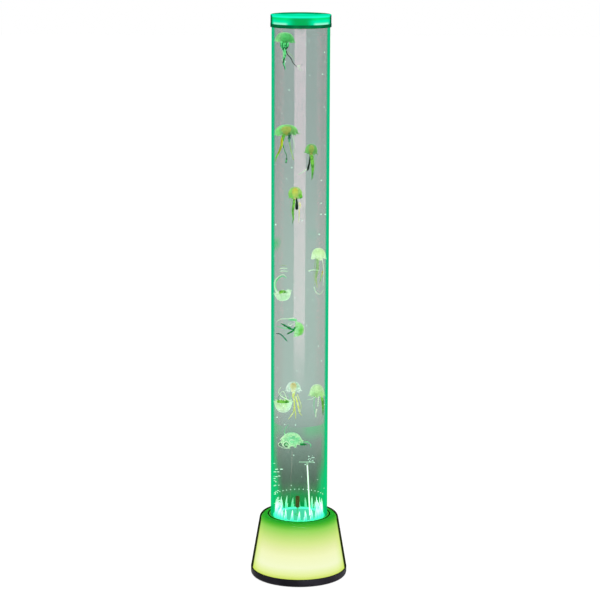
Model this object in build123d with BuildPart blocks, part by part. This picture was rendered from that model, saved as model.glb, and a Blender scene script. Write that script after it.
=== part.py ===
from build123d import *

import math
import os

# Bubble tube floor lamp, in millimetres. The origin is on the floor under the middle of
# the base, +Z is up, -Y is the front and the buttons are at the rear, on +Y.

os.makedirs("parts", exist_ok=True)

# ---------------------------------------------------------------- driving dimensions
# Whole lamp
lamp_height = 1190.0
slip_gap = 0.4          # between a shell and what passes through it
seat_gap = 0.05         # glued, screwed or running fit, all round

# Clear column
tube_radius = 60.0
tube_wall = 5.0
socket_depth = 33.0             # the tube's foot below the flat top of the base
floor_disc_rise = 18.0         # underside of the floor disc above the tube's foot
floor_disc_thickness = 8.0

# Cap
cap_wall = 2.1
cap_top_thickness = 4.0
cap_height = 25.5
cap_band_height = 7.0
cap_band_proud = 0.4
cap_plug_wall = 2.2
cap_plug_depth = 8.0
cap_seal_thickness = 3.2
cap_edge_round = 1.2
cap_vent_count = 6
cap_vent_radius = 1.5
cap_vent_circle_radius = 40.0

# Base shells
ring_top = 19.0
base_top = 137.0
base_foot_inset = 0.1
base_shoulder = 21.9           # how far the flat top reaches past the column
shoulder_round = 12.0
cover_wall = 2.5
shell_gap = 0.4
diffuser_wall = 2.0

# Black tray
tray_radius = 102.0
tray_bottom = 2.0
tray_floor = 2.5
tray_wall = 3.0
tray_edge_round = 7.0
rim_thickness = 3.0
rim_width = 9.3
lip_thickness = 2.8
lip_height = 4.0
vent_slot_length = 34.0
vent_slot_width = 3.0
vent_slot_pitch = 7.0
vent_slot_count = 5

# Rubber feet
foot_count = 5
foot_radius = 8.0
foot_inset = 22.0
foot_recess = 1.2

# Rear control panel
panel_width = 56.0
panel_inset = 4.2
panel_wall = 2.5
panel_bottom = 6.5
panel_recess = 6.0
panel_root = 2.5         # how far the panel runs on into the floor and the rim
button_radius = 3.6
button_height = 11.2
button_proud = 1.3
button_travel = 0.8
button_flange_radius = 4.6
button_flange = 1.0
button_stem_radius = 1.5
power_button_x = -18.0
colour_button_x = -4.0
inlet_x = 16.0
inlet_bore = 3.1
inlet_pin_radius = 1.0
inlet_size = 9.0
inlet_depth = 13.0
inlet_nose_radius = 3.9

# Screws
screw_radius = 1.45
screw_head_radius = 2.8
screw_head_height = 2.2
screw_clear_radius = 1.7
boss_radius = 4.5
cover_screw_inset = 11.8
cover_screw_reach = 9.0
screw_count = 4
small_screw_radius = 0.95
small_head_radius = 1.9
small_head_height = 1.3
small_screw_length = 6.0

# Column socket
socket_wall = 3.0
socket_floor = 3.5
socket_flange_radius = 71.0
socket_flange = 2.5
gasket_thickness = 1.5
socket_hole_radius = 16.0
leg_circle_radius = 54.0
leg_radius = 5.5
leg_screw_reach = 12.0
leg_pad = 2.0            # boss of the tray floor under each leg, held by the screw's head
leg_collar = 3.0
collar_wall = 1.5
web_drop = 14.0
web_thickness = 2.5

# Light boards
board_thickness = 1.6
column_board_inner = 21.0
column_board_outer = 47.0
column_led_count = 12
column_led_circle_radius = 38.0
pedestal_circle_radius = 30.0
pedestal_radius = 3.0
pedestal_height = 11.5
base_board_height = 17.5
base_board_inset = 18.0
base_board_width = 18.0
base_led_count = 24
base_led_inset = 7.0
led_size = 5.0
led_height = 1.6
board_post_radius = 3.0
board_post_inset = 3.5

# Control board
control_board_left = -34.0
control_board_right = 7.0
control_board_setback = 11.8   # from the face of the panel
control_board_width = 25.0
control_board_height = 7.0
control_post_radius = 2.2
control_screw_reach = 2.0
control_screw_edge = 3.0
switch_size = 6.2
switch_height = 5.0
switch_plunger_radius = 1.2
switch_plunger = 0.9

# Air pump
pump_length = 72.0
pump_width = 46.0
pump_height = 34.0
pump_wall = 2.0
pump_corner_round = 6.0
ledge_width = 3.0
pump_foot_height = 5.0
pump_foot_radius = 5.0
pump_foot_x = 27.0
pump_foot_y = 15.0
lid_thickness = 2.0
core_depth = 14.0
core_leg = 5.0
core_back = 5.0
core_slot = 3.0
core_reach = 20.0
coil_wall = 2.7
coil_length = 11.0
arm_thickness = 3.0
arm_width = 12.0
arm_height = 17.0
arm_pivot_x = 30.0
arm_pivot_radius = 1.5
arm_barrel_radius = 3.6
magnet_gap = 1.6
magnet_length = 6.0
magnet_height = 9.0
drive_stud_radius = 3.0
diaphragm_x = 13.0
diaphragm_radius = 10.0
diaphragm_height = 5.0
diaphragm_wall = 1.2
valve_box_height = 8.0
barb_radius = 2.0
barb_bore = 1.2
barb_length = 5.5
lid_boss_x = 30.0
lid_boss_y = 17.0
lid_boss_radius = 3.0
pivot_ear = 3.0

# Air line
hose_radius = 3.0
hose_bore = 2.05
hose_straight_share = 0.305    # share of its height that the hose leaves each barb straight
hose_bend_share = 0.6          # share of that straight which the bend takes up
nozzle_x = -3.0
nozzle_stem_radius = 4.0
nozzle_bore = 1.2
nozzle_flange_radius = 7.0
nozzle_flange = 2.5
nozzle_spigot_radius = 2.2
nozzle_spigot = 19.0
nozzle_tail = 14.0
nut_across = 13.0
nut_thickness = 4.0
washer_thickness = 1.5
valve_body_radius = 6.0
valve_body_height = 12.0
valve_sleeve = 8.0
stone_radius = 4.3
stone_height = 24.0
stone_rise = 18.0              # foot of the stone above the floor disc

# Riser pipe
riser_foot_x = 23.5
riser_top_x = 17.0
riser_height = 117.0           # middle of the tee above the floor disc
riser_radius = 1.4
riser_bore = 0.8
riser_socket_depth = 4.0
tee_left = 17.5
tee_right = 13.5
tee_radius = 1.3
tee_sleeve = 6.0
tee_wall = 0.9

# Ring of blades round the tube foot
blade_count = 22
blade_ring_gap = 0.6
blade_ring_width = 6.0
blade_ring_height = 3.0
blade_width = 7.4
blade_thickness = 1.4
blade_lean = 5.0
blade_inset = 1.2
blade_short = 20.0
blade_long = 37.0

# Jellyfish: where each floats, as the share of the water column below it, the turn of its
# place round the column in degrees and the gap from its bell to the tube's bore, then its
# bell, the lean of its crown to the right and to the rear in degrees, and its arms.
bell_wall = 1.6
arm_ribbon = 1.2
jellyfish_sizes = [
    # level, turn, wall gap, bell radius, bell height, lean right, lean back, arm length
    (0.9555, 180, 2.6, 19.4, 18.0, 4.0, 0.0, 56.0),
    (0.774, 180, 1.8, 24.4, 20.0, -3.0, 0.0, 60.0),
    (0.7335, 33, 15.9, 13.2, 19.0, 6.0, 0.0, 56.0),
    (0.652, 234, 22.5, 15.3, 21.0, -2.0, 0.0, 54.0),
    (0.531, 0, 1.6, 15.0, 20.0, 3.0, 0.0, 74.0),
    (0.458, 180, 2.0, 17.0, 17.0, 170.0, 0.0, 38.0),
    (0.387, 180, 30.0, 17.0, 17.0, 96.0, 0.0, 34.0),
    (0.266, 242, 12.5, 15.4, 17.0, 0.0, 0.0, 64.0),
    (0.251, 5, 2.7, 15.4, 21.0, 2.0, 0.0, 54.0),
    (0.233, 167, 1.7, 18.4, 24.0, 180.0, 0.0, 30.0),
    (0.153, 154, 15.3, 21.5, 15.0, -4.0, 48.0, 24.0),
]

# ---------------------------------------------------------------- derived heights
tube_foot_height = base_top - socket_depth
tube_bore_radius = tube_radius - tube_wall
base_foot_radius = tray_radius - base_foot_inset
base_corner_radius = tube_radius + base_shoulder
rim_inner_radius = tray_radius - rim_width
foot_circle_radius = tray_radius - foot_inset
cover_screw_circle_radius = tray_radius - cover_screw_inset
panel_face = tray_radius - panel_inset
base_board_outer = tray_radius - base_board_inset
base_board_inner = base_board_outer - base_board_width
base_led_circle_radius = base_board_outer - base_led_inset
board_post_circle_radius = base_board_inner + board_post_inset
control_board_rear = panel_face - control_board_setback
control_board_front = control_board_rear - control_board_width
cap_skirt_radius = tube_radius + slip_gap
cap_radius = cap_skirt_radius + cap_wall
cap_plug_radius = tube_bore_radius - slip_gap
blade_ring_radius = tube_bore_radius - blade_ring_gap
cap_underside = lamp_height - cap_top_thickness
cap_foot = lamp_height - cap_height
tube_top = cap_underside - cap_seal_thickness
floor_disc_bottom = tube_foot_height + floor_disc_rise
floor_disc_top = floor_disc_bottom + floor_disc_thickness
tray_floor_top = tray_bottom + tray_floor
leg_foot = tray_floor_top + leg_pad
rim_bottom = ring_top - rim_thickness
socket_floor_top = tube_foot_height - gasket_thickness
socket_floor_bottom = socket_floor_top - socket_floor
column_board_height = socket_floor_top + pedestal_height
socket_radius = tube_radius + slip_gap + socket_wall
cone_slope = (base_foot_radius - base_corner_radius) / (base_top - ring_top)
cone_angle = math.atan(cone_slope)
diffuser_inset = cover_wall + shell_gap
diffuser_underside = base_top - diffuser_inset - diffuser_wall
pump_floor = tray_floor_top + pump_foot_height
pump_lid_foot = pump_floor + pump_height
pump_inside = pump_floor + pump_wall
arm_level = pump_inside + arm_height
core_left = -pump_length / 2 + pump_wall
core_height = 3 * core_leg + 2 * core_slot
core_level = arm_level - core_height / 2
switch_face = control_board_rear + switch_plunger
button_stem_end = switch_face + button_travel + 0.1


def cone_radius(height, inset):
    """Radius of the base cone at a height, an inset inside its outer skin."""
    return base_foot_radius - (height - ring_top) * cone_slope - inset / math.cos(cone_angle)


def cone_shell_section(inset, wall):
    """Half the section of one base shell: a cone with a rounded shoulder and a flat top
    that the column passes through."""
    hole = tube_radius + slip_gap
    top, underside = base_top - inset, base_top - inset - wall
    outer_corner = (cone_radius(top, inset), top)
    inner_corner = (cone_radius(underside, inset + wall), underside)
    with BuildSketch(Plane.XZ) as section:
        with BuildLine():
            Polyline(
                (hole, top),
                outer_corner,
                (cone_radius(ring_top, inset), ring_top),
                (cone_radius(ring_top, inset + wall), ring_top),
                inner_corner,
                (hole, underside),
                close=True,
            )
        make_face()
        fillet(section.vertices().sort_by_distance(outer_corner)[0], shoulder_round - inset)
        fillet(section.vertices().sort_by_distance(inner_corner)[0], shoulder_round - inset - wall)
    return section.sketch


def pan_screw(length, shaft, head, head_height):
    """One pan head screw on the axis: its head hangs below the origin, its shaft goes up."""
    with BuildPart() as screw:
        with BuildSketch(Plane.XZ):
            with BuildLine():
                Polyline(
                    (0, -head_height),
                    (0.8 * head, -head_height),
                    (head, -0.6 * head_height),
                    (head, 0),
                    (shaft, 0),
                    (shaft, length - shaft),
                    (0, length),
                    close=True,
                )
            make_face()
        revolve(axis=Axis.Z)
    return screw.part


def case_screw(length):
    """One of the screws that close the base."""
    return pan_screw(length, screw_radius, screw_head_radius, screw_head_height)


def board_screw(length):
    """One of the small screws that hold a circuit board or the pump's lid."""
    return pan_screw(length, small_screw_radius, small_head_radius, small_head_height)


# ---------------------------------------------------------------- base tray and feet
screw_spots = PolarLocations(cover_screw_circle_radius, screw_count, start_angle=45)
leg_spots = PolarLocations(leg_circle_radius, screw_count, start_angle=45)
pedestal_spots = PolarLocations(pedestal_circle_radius, screw_count, start_angle=45)
foot_spots = PolarLocations(foot_circle_radius, foot_count, start_angle=90)
post_spots = PolarLocations(board_post_circle_radius, screw_count, start_angle=45)
control_board_middle = (
    (control_board_left + control_board_right) / 2,
    (control_board_front + control_board_rear) / 2,
)
control_board_length = control_board_right - control_board_left
control_screw_spots = Locations(
    *(
        (control_board_middle[0] + side * (control_board_length / 2 - control_screw_edge),
         control_board_middle[1] + end * (control_board_width / 2 - control_screw_edge))
        for side in (-1, 1)
        for end in (-1, 1)
    )
)
head_ledge = tray_bottom + screw_head_height + 0.3

with BuildPart() as base_tray:
    with BuildSketch(Plane.XZ):
        with BuildLine():
            Line((0, tray_bottom), (tray_radius - tray_edge_round, tray_bottom))
            RadiusArc(
                (tray_radius - tray_edge_round, tray_bottom),
                (tray_radius, tray_bottom + tray_edge_round),
                -tray_edge_round,
            )
            Polyline(
                (tray_radius, tray_bottom + tray_edge_round),
                (tray_radius, ring_top),
                (rim_inner_radius + lip_thickness, ring_top),
                (rim_inner_radius + lip_thickness, ring_top + lip_height),
                (rim_inner_radius, ring_top + lip_height),
                (rim_inner_radius, rim_bottom),
                (tray_radius - tray_wall, rim_bottom),
                (tray_radius - tray_wall, tray_bottom + tray_edge_round),
                (tray_radius - tray_edge_round, tray_floor_top),
                (0, tray_floor_top),
                (0, tray_bottom),
            )
        make_face()
    revolve(axis=Axis.Z)
    # Flat panel at the rear that carries the buttons and the power inlet
    panel_mid = (panel_bottom + rim_bottom) / 2
    with Locations((0, panel_face - panel_wall / 2, panel_mid)):
        Box(panel_width, panel_wall, rim_bottom - panel_bottom + 2 * panel_root)
    with Locations((0, panel_face + tray_wall, panel_mid)):
        Box(panel_width, 2 * tray_wall, rim_bottom - panel_bottom, mode=Mode.SUBTRACT)
    with Locations((0, panel_face - panel_wall - panel_recess / 2, panel_mid)):
        Box(panel_width - 4, panel_recess, rim_bottom - panel_bottom, mode=Mode.SUBTRACT)
    # Bosses for the cover screws, the socket legs and the light board posts
    with BuildSketch(Plane.XY.offset(tray_floor_top)):
        with screw_spots:
            Circle(boss_radius)
    extrude(amount=ring_top - tray_floor_top)
    with BuildSketch(Plane.XY.offset(tray_floor_top)):
        with leg_spots:
            Circle(leg_radius + collar_wall)
    extrude(amount=leg_pad)
    with BuildSketch(Plane.XY.offset(leg_foot)):
        with leg_spots:
            Circle(leg_radius + collar_wall)
            Circle(leg_radius + seat_gap, mode=Mode.SUBTRACT)
    extrude(amount=leg_collar)
    with BuildSketch(Plane.XY.offset(tray_floor_top)):
        with post_spots:
            Circle(board_post_radius)
            Circle(small_screw_radius + seat_gap, mode=Mode.SUBTRACT)
    extrude(amount=base_board_height - tray_floor_top)
    # Supports of the control board and the cradle of the inlet
    with BuildSketch(Plane.XY.offset(tray_floor_top)):
        with control_screw_spots:
            Circle(control_post_radius)
            Circle(small_screw_radius + seat_gap, mode=Mode.SUBTRACT)
    extrude(amount=control_board_height - tray_floor_top)
    inlet_low = button_height - inlet_size / 2
    with BuildSketch(Plane.XY.offset(tray_floor_top)):
        with Locations((inlet_x, panel_face - panel_wall - inlet_depth / 2)):
            Rectangle(inlet_size + 4, inlet_depth - 1)
    extrude(amount=inlet_low - tray_floor_top)
    with BuildSketch(Plane.XY.offset(inlet_low)):
        with Locations((inlet_x, panel_face - panel_wall - inlet_depth / 2)):
            Rectangle(inlet_size + 4, inlet_depth - 1)
            Rectangle(inlet_size + 2 * seat_gap, inlet_depth, mode=Mode.SUBTRACT)
    extrude(amount=inlet_size / 2)
    # Screw holes, foot recesses, vent slots and the holes of the panel
    with BuildSketch(Plane.XY.offset(tray_bottom)):
        with screw_spots:
            Circle(screw_head_radius + 0.3)
        with leg_spots:
            Circle(screw_head_radius + 0.3)
    extrude(amount=head_ledge - tray_bottom, mode=Mode.SUBTRACT)
    with BuildSketch(Plane.XY.offset(tray_bottom)):
        with screw_spots:
            Circle(screw_clear_radius)
        with leg_spots:
            Circle(screw_clear_radius)
    extrude(amount=ring_top, mode=Mode.SUBTRACT)
    with BuildSketch(Plane.XY.offset(tray_bottom)):
        with foot_spots:
            Circle(foot_radius + seat_gap)
    extrude(amount=foot_recess, mode=Mode.SUBTRACT)
    with BuildSketch(Plane.XY.offset(tray_bottom)):
        with GridLocations(0, vent_slot_pitch, 1, vent_slot_count):
            SlotOverall(vent_slot_length, vent_slot_width)
    extrude(amount=tray_floor, mode=Mode.SUBTRACT)
    with BuildSketch(Plane.XZ.offset(-panel_face)):
        with Locations((power_button_x, button_height), (colour_button_x, button_height)):
            Circle(button_radius + seat_gap)
        with Locations((inlet_x, button_height)):
            Circle(inlet_nose_radius + seat_gap)
    extrude(amount=panel_wall, mode=Mode.SUBTRACT)
base_tray.part.label = "base_tray"
export_step(base_tray.part, "parts/base_tray.step")

with BuildPart() as rubber_feet:
    with BuildSketch():
        with foot_spots:
            Circle(foot_radius)
    extrude(amount=tray_bottom + foot_recess)
    chamfer(rubber_feet.edges().group_by(Axis.Z)[0], 0.6)
rubber_feet.part.label = "rubber_feet"
export_step(rubber_feet.part, "parts/rubber_feet.step")

# ---------------------------------------------------------------- base shells
with BuildPart() as base_cover:
    revolve(cone_shell_section(0, cover_wall), axis=Axis.Z)
base_cover.part.label = "base_cover"
export_step(base_cover.part, "parts/base_cover.step")

with BuildPart() as base_diffuser:
    revolve(cone_shell_section(diffuser_inset, diffuser_wall), axis=Axis.Z)
    # Screw bosses inside the foot of the shell, above the rim of the tray
    with BuildSketch(Plane.XY.offset(ring_top)):
        with screw_spots:
            Circle(boss_radius)
            with Locations((boss_radius, 0)):
                Rectangle(2 * boss_radius, 2.0)
        Circle(cone_radius(ring_top + cover_screw_reach + 3, diffuser_inset + 1), mode=Mode.INTERSECT)
    extrude(amount=cover_screw_reach + 3)
    with BuildSketch(Plane.XY.offset(ring_top)):
        Circle(rim_inner_radius + lip_thickness + slip_gap)
        Circle(rim_inner_radius - slip_gap, mode=Mode.SUBTRACT)
    extrude(amount=lip_height + slip_gap, mode=Mode.SUBTRACT)
    with BuildSketch(Plane.XY.offset(ring_top)):
        with screw_spots:
            Circle(screw_radius + seat_gap)
    extrude(amount=cover_screw_reach + 1, mode=Mode.SUBTRACT)
base_diffuser.part.label = "base_diffuser"
export_step(base_diffuser.part, "parts/base_diffuser.step")

with BuildPart() as cover_screws:
    with screw_spots:
        with Locations((0, 0, head_ledge)):
            add(case_screw(ring_top + cover_screw_reach - head_ledge))
cover_screws.part.label = "cover_screws"
export_step(cover_screws.part, "parts/cover_screws.step")

# ---------------------------------------------------------------- column socket
with BuildPart() as column_socket:
    with BuildSketch(Plane.XZ):
        with BuildLine():
            Polyline(
                (socket_hole_radius, socket_floor_bottom),
                (socket_radius, socket_floor_bottom),
                (socket_radius, diffuser_underside - socket_flange),
                (socket_flange_radius, diffuser_underside - socket_flange),
                (socket_flange_radius, diffuser_underside),
                (tube_radius + slip_gap, diffuser_underside),
                (tube_radius + slip_gap, socket_floor_top),
                (socket_hole_radius, socket_floor_top),
                close=True,
            )
        make_face()
    revolve(axis=Axis.Z)
    # Legs down to the tray, each with a web under the cup
    with BuildSketch(Plane.XY.offset(leg_foot)):
        with leg_spots:
            Circle(leg_radius)
    extrude(amount=socket_floor_bottom - leg_foot)
    for leg in leg_spots:
        with BuildSketch(Plane(origin=leg.position, x_dir=leg.x_axis.direction, z_dir=-leg.y_axis.direction)):
            with BuildLine():
                Polyline(
                    (0, socket_floor_bottom),
                    (leg_radius - leg_circle_radius + socket_hole_radius, socket_floor_bottom),
                    (0, socket_floor_bottom - web_drop),
                    close=True,
                )
            make_face()
        extrude(amount=web_thickness / 2, both=True)
    # Pedestals of the upper light board
    with BuildSketch(Plane.XY.offset(socket_floor_top)):
        with pedestal_spots:
            Circle(pedestal_radius)
    extrude(amount=column_board_height - socket_floor_top)
    with BuildSketch(Plane.XY.offset(column_board_height)):
        with pedestal_spots:
            Circle(small_screw_radius + seat_gap)
    extrude(amount=-small_screw_length, mode=Mode.SUBTRACT)
    with BuildSketch(Plane.XY.offset(leg_foot)):
        with leg_spots:
            Circle(screw_radius + seat_gap)
    extrude(amount=leg_screw_reach + 1, mode=Mode.SUBTRACT)
column_socket.part.label = "column_socket"
export_step(column_socket.part, "parts/column_socket.step")

with BuildPart() as socket_screws:
    with leg_spots:
        with Locations((0, 0, head_ledge)):
            add(case_screw(leg_foot + leg_screw_reach - head_ledge))
socket_screws.part.label = "socket_screws"
export_step(socket_screws.part, "parts/socket_screws.step")

with BuildPart() as tube_gasket:
    with BuildSketch(Plane.XY.offset(socket_floor_top)):
        Circle(tube_radius)
        Circle(tube_bore_radius - 1.0, mode=Mode.SUBTRACT)
    extrude(amount=gasket_thickness)
tube_gasket.part.label = "tube_gasket"
export_step(tube_gasket.part, "parts/tube_gasket.step")

# ---------------------------------------------------------------- clear column
with BuildPart() as water_tube:
    with BuildSketch(Plane.XY.offset(tube_foot_height)):
        Circle(tube_radius)
        Circle(tube_bore_radius, mode=Mode.SUBTRACT)
    extrude(amount=tube_top - tube_foot_height)
    chamfer(water_tube.edges().group_by(Axis.Z)[-1], 0.6)
water_tube.part.label = "water_tube"
export_step(water_tube.part, "parts/water_tube.step")

riser_top_height = floor_disc_top + riser_height
riser_rise = Vector(riser_top_x - riser_foot_x, 0, riser_height)
riser_plane = Plane(origin=(riser_foot_x, 0, floor_disc_top), x_dir=(0, 1, 0), z_dir=riser_rise)

with BuildPart() as tube_floor:
    with BuildSketch(Plane.XY.offset(floor_disc_bottom)):
        Circle(tube_bore_radius - seat_gap)
        with Locations((nozzle_x, 0)):
            Circle(nozzle_stem_radius + seat_gap, mode=Mode.SUBTRACT)
    extrude(amount=floor_disc_thickness)
    # Socket of the riser pipe, and the drilling that feeds it from the nozzle
    with BuildSketch(riser_plane.offset(1)):
        Circle(riser_radius + seat_gap)
    extrude(amount=-riser_socket_depth - 1, mode=Mode.SUBTRACT)
    with BuildSketch(Plane.YZ.offset(nozzle_x)):
        with Locations((0, floor_disc_top - riser_socket_depth + riser_bore)):
            Circle(riser_bore)
    extrude(amount=riser_foot_x - nozzle_x, mode=Mode.SUBTRACT)
tube_floor.part.label = "tube_floor"
export_step(tube_floor.part, "parts/tube_floor.step")

with BuildPart() as cap:
    with BuildSketch(Plane.XZ):
        with BuildLine():
            Polyline(
                (0, cap_underside),
                (cap_plug_radius - cap_plug_wall, cap_underside),
                (cap_plug_radius - cap_plug_wall, cap_underside - cap_plug_depth),
                (cap_plug_radius, cap_underside - cap_plug_depth),
                (cap_plug_radius, cap_underside),
                (cap_skirt_radius, cap_underside),
                (cap_skirt_radius, cap_foot),
                (cap_radius, cap_foot),
                (cap_radius, cap_foot + cap_band_height),
                (cap_radius - cap_band_proud, cap_foot + cap_band_height),
                (cap_radius - cap_band_proud, lamp_height),
                (0, lamp_height),
                close=True,
            )
        make_face()
    revolve(axis=Axis.Z)
    fillet(cap.edges().filter_by(GeomType.CIRCLE).group_by(Axis.Z)[-1], cap_edge_round)
    with BuildSketch(Plane.XY.offset(cap_underside)):
        with PolarLocations(cap_vent_circle_radius, cap_vent_count):
            Circle(cap_vent_radius)
    extrude(amount=cap_top_thickness, mode=Mode.SUBTRACT)
cap.part.label = "cap"
export_step(cap.part, "parts/cap.step")

with BuildPart() as cap_seal:
    with BuildSketch(Plane.XY.offset(tube_top)):
        Circle(tube_radius)
        Circle(tube_bore_radius, mode=Mode.SUBTRACT)
    extrude(amount=cap_seal_thickness)
cap_seal.part.label = "cap_seal"
export_step(cap_seal.part, "parts/cap_seal.step")

# ---------------------------------------------------------------- light boards
with BuildPart() as column_light_board:
    with BuildSketch(Plane.XY.offset(column_board_height)):
        Circle(column_board_outer)
        Circle(column_board_inner, mode=Mode.SUBTRACT)
        with pedestal_spots:
            Circle(small_screw_radius + seat_gap, mode=Mode.SUBTRACT)
    extrude(amount=board_thickness)
column_light_board.part.label = "column_light_board"
export_step(column_light_board.part, "parts/column_light_board.step")

with BuildPart() as column_leds:
    with BuildSketch(Plane.XY.offset(column_board_height + board_thickness)):
        with PolarLocations(column_led_circle_radius, column_led_count):
            Rectangle(led_size, led_size)
    extrude(amount=led_height)
column_leds.part.label = "column_leds"
export_step(column_leds.part, "parts/column_leds.step")

with BuildPart() as base_light_board:
    with BuildSketch(Plane.XY.offset(base_board_height)):
        Circle(base_board_outer)
        Circle(base_board_inner, mode=Mode.SUBTRACT)
        with post_spots:
            Circle(small_screw_radius + seat_gap, mode=Mode.SUBTRACT)
    extrude(amount=board_thickness)
base_light_board.part.label = "base_light_board"
export_step(base_light_board.part, "parts/base_light_board.step")

with BuildPart() as base_leds:
    with BuildSketch(Plane.XY.offset(base_board_height + board_thickness)):
        with PolarLocations(base_led_circle_radius, base_led_count):
            Rectangle(led_size, led_size)
    extrude(amount=led_height)
base_leds.part.label = "base_leds"
export_step(base_leds.part, "parts/base_leds.step")

# ---------------------------------------------------------------- control board
control_board_top = control_board_height + board_thickness
with BuildPart() as control_board:
    with BuildSketch(Plane.XY.offset(control_board_height)):
        with Locations(control_board_middle):
            Rectangle(control_board_length, control_board_width)
        with control_screw_spots:
            Circle(small_screw_radius + seat_gap, mode=Mode.SUBTRACT)
    extrude(amount=board_thickness)
control_board.part.label = "control_board"
export_step(control_board.part, "parts/control_board.step")

with BuildPart() as board_parts:
    with BuildSketch(Plane.XY.offset(control_board_top)):
        with Locations((control_board_middle[0], control_board_middle[1] - 2)):
            Rectangle(8, 8)
    extrude(amount=1.6)
    with BuildSketch(Plane.XY.offset(control_board_top)):
        with Locations((control_board_right - 9, control_board_front + 9)):
            Circle(2.6)
    extrude(amount=6.5)
    # One side-acting switch behind each button
    for switch_x in (power_button_x, colour_button_x):
        with BuildSketch(Plane.XY.offset(control_board_top)):
            with Locations((switch_x, control_board_rear - switch_size / 2)):
                Rectangle(switch_size, switch_size)
        extrude(amount=switch_height)
        with BuildSketch(Plane.XZ.offset(-control_board_rear)):
            with Locations((switch_x, button_height)):
                Circle(switch_plunger_radius)
        extrude(amount=-switch_plunger)
board_parts.part.label = "board_parts"
export_step(board_parts.part, "parts/board_parts.step")

with BuildPart() as board_screws:
    with pedestal_spots:
        with Locations(Location((0, 0, column_board_height + board_thickness), (180, 0, 0))):
            add(board_screw(small_screw_length))
    with post_spots:
        with Locations(Location((0, 0, base_board_height + board_thickness), (180, 0, 0))):
            add(board_screw(small_screw_length))
    with control_screw_spots:
        with Locations(Location((0, 0, control_board_top), (180, 0, 0))):
            add(board_screw(board_thickness + control_screw_reach))
board_screws.part.label = "board_screws"
export_step(board_screws.part, "parts/board_screws.step")

# ---------------------------------------------------------------- buttons and power inlet
panel_inside = panel_face - panel_wall
for button_name, button_x in (("power_button", power_button_x), ("colour_button", colour_button_x)):
    with BuildPart() as button:
        with BuildSketch(Plane.XY):
            with BuildLine():
                Polyline(
                    (0, button_stem_end),
                    (button_stem_radius, button_stem_end),
                    (button_stem_radius, panel_inside - button_flange),
                    (button_flange_radius, panel_inside - button_flange),
                    (button_flange_radius, panel_inside),
                    (button_radius, panel_inside),
                    (button_radius, panel_face + 0.5 * button_proud),
                    (button_radius - 0.5 * button_proud, panel_face + button_proud),
                    (0, panel_face + button_proud),
                    close=True,
                )
            make_face()
        revolve(axis=Axis.Y)
    button.part.label = button_name
    button.part.position = (button_x, 0, button_height)
    export_step(button.part, f"parts/{button_name}.step")

with BuildPart() as dc_inlet:
    with Locations((inlet_x, panel_inside - inlet_depth / 2, button_height)):
        Box(inlet_size, inlet_depth, inlet_size)
    with BuildSketch(Plane.XZ.offset(-panel_inside)):
        with Locations((inlet_x, button_height)):
            Circle(inlet_nose_radius)
    extrude(amount=-panel_wall)
    with BuildSketch(Plane.XZ.offset(-panel_face)):
        with Locations((inlet_x, button_height)):
            Circle(inlet_bore)
    extrude(amount=inlet_depth - 1, mode=Mode.SUBTRACT)
    with BuildSketch(Plane.XZ.offset(-panel_face)):
        with Locations((inlet_x, button_height)):
            Circle(inlet_pin_radius)
    extrude(amount=panel_wall + inlet_depth, mode=Mode.SUBTRACT)
dc_inlet.part.label = "dc_inlet"
export_step(dc_inlet.part, "parts/dc_inlet.step")

with BuildPart() as dc_inlet_pin:
    with BuildSketch(Plane.XZ.offset(-(panel_inside - inlet_depth))):
        with Locations((inlet_x, button_height)):
            Circle(inlet_pin_radius)
    extrude(amount=-(inlet_depth + panel_wall - 0.5))
dc_inlet_pin.part.label = "dc_inlet_pin"
export_step(dc_inlet_pin.part, "parts/dc_inlet_pin.step")

# ---------------------------------------------------------------- air pump
pump_inner_length = pump_length - 2 * pump_wall
pump_inner_width = pump_width - 2 * pump_wall
lid_boss_grid = GridLocations(2 * lid_boss_x, 2 * lid_boss_y, 2, 2)
pump_foot_grid = GridLocations(2 * pump_foot_x, 2 * pump_foot_y, 2, 2)
diaphragm_top = pump_lid_foot - valve_box_height
diaphragm_foot = diaphragm_top - diaphragm_height
ear_offset = arm_width / 2 + slip_gap + pivot_ear / 2
core_right = core_left + core_reach

with BuildPart() as pump_feet:
    with BuildSketch(Plane.XY.offset(tray_floor_top)):
        with pump_foot_grid:
            Circle(pump_foot_radius)
    extrude(amount=pump_foot_height)
pump_feet.part.label = "pump_feet"
export_step(pump_feet.part, "parts/pump_feet.step")

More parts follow.
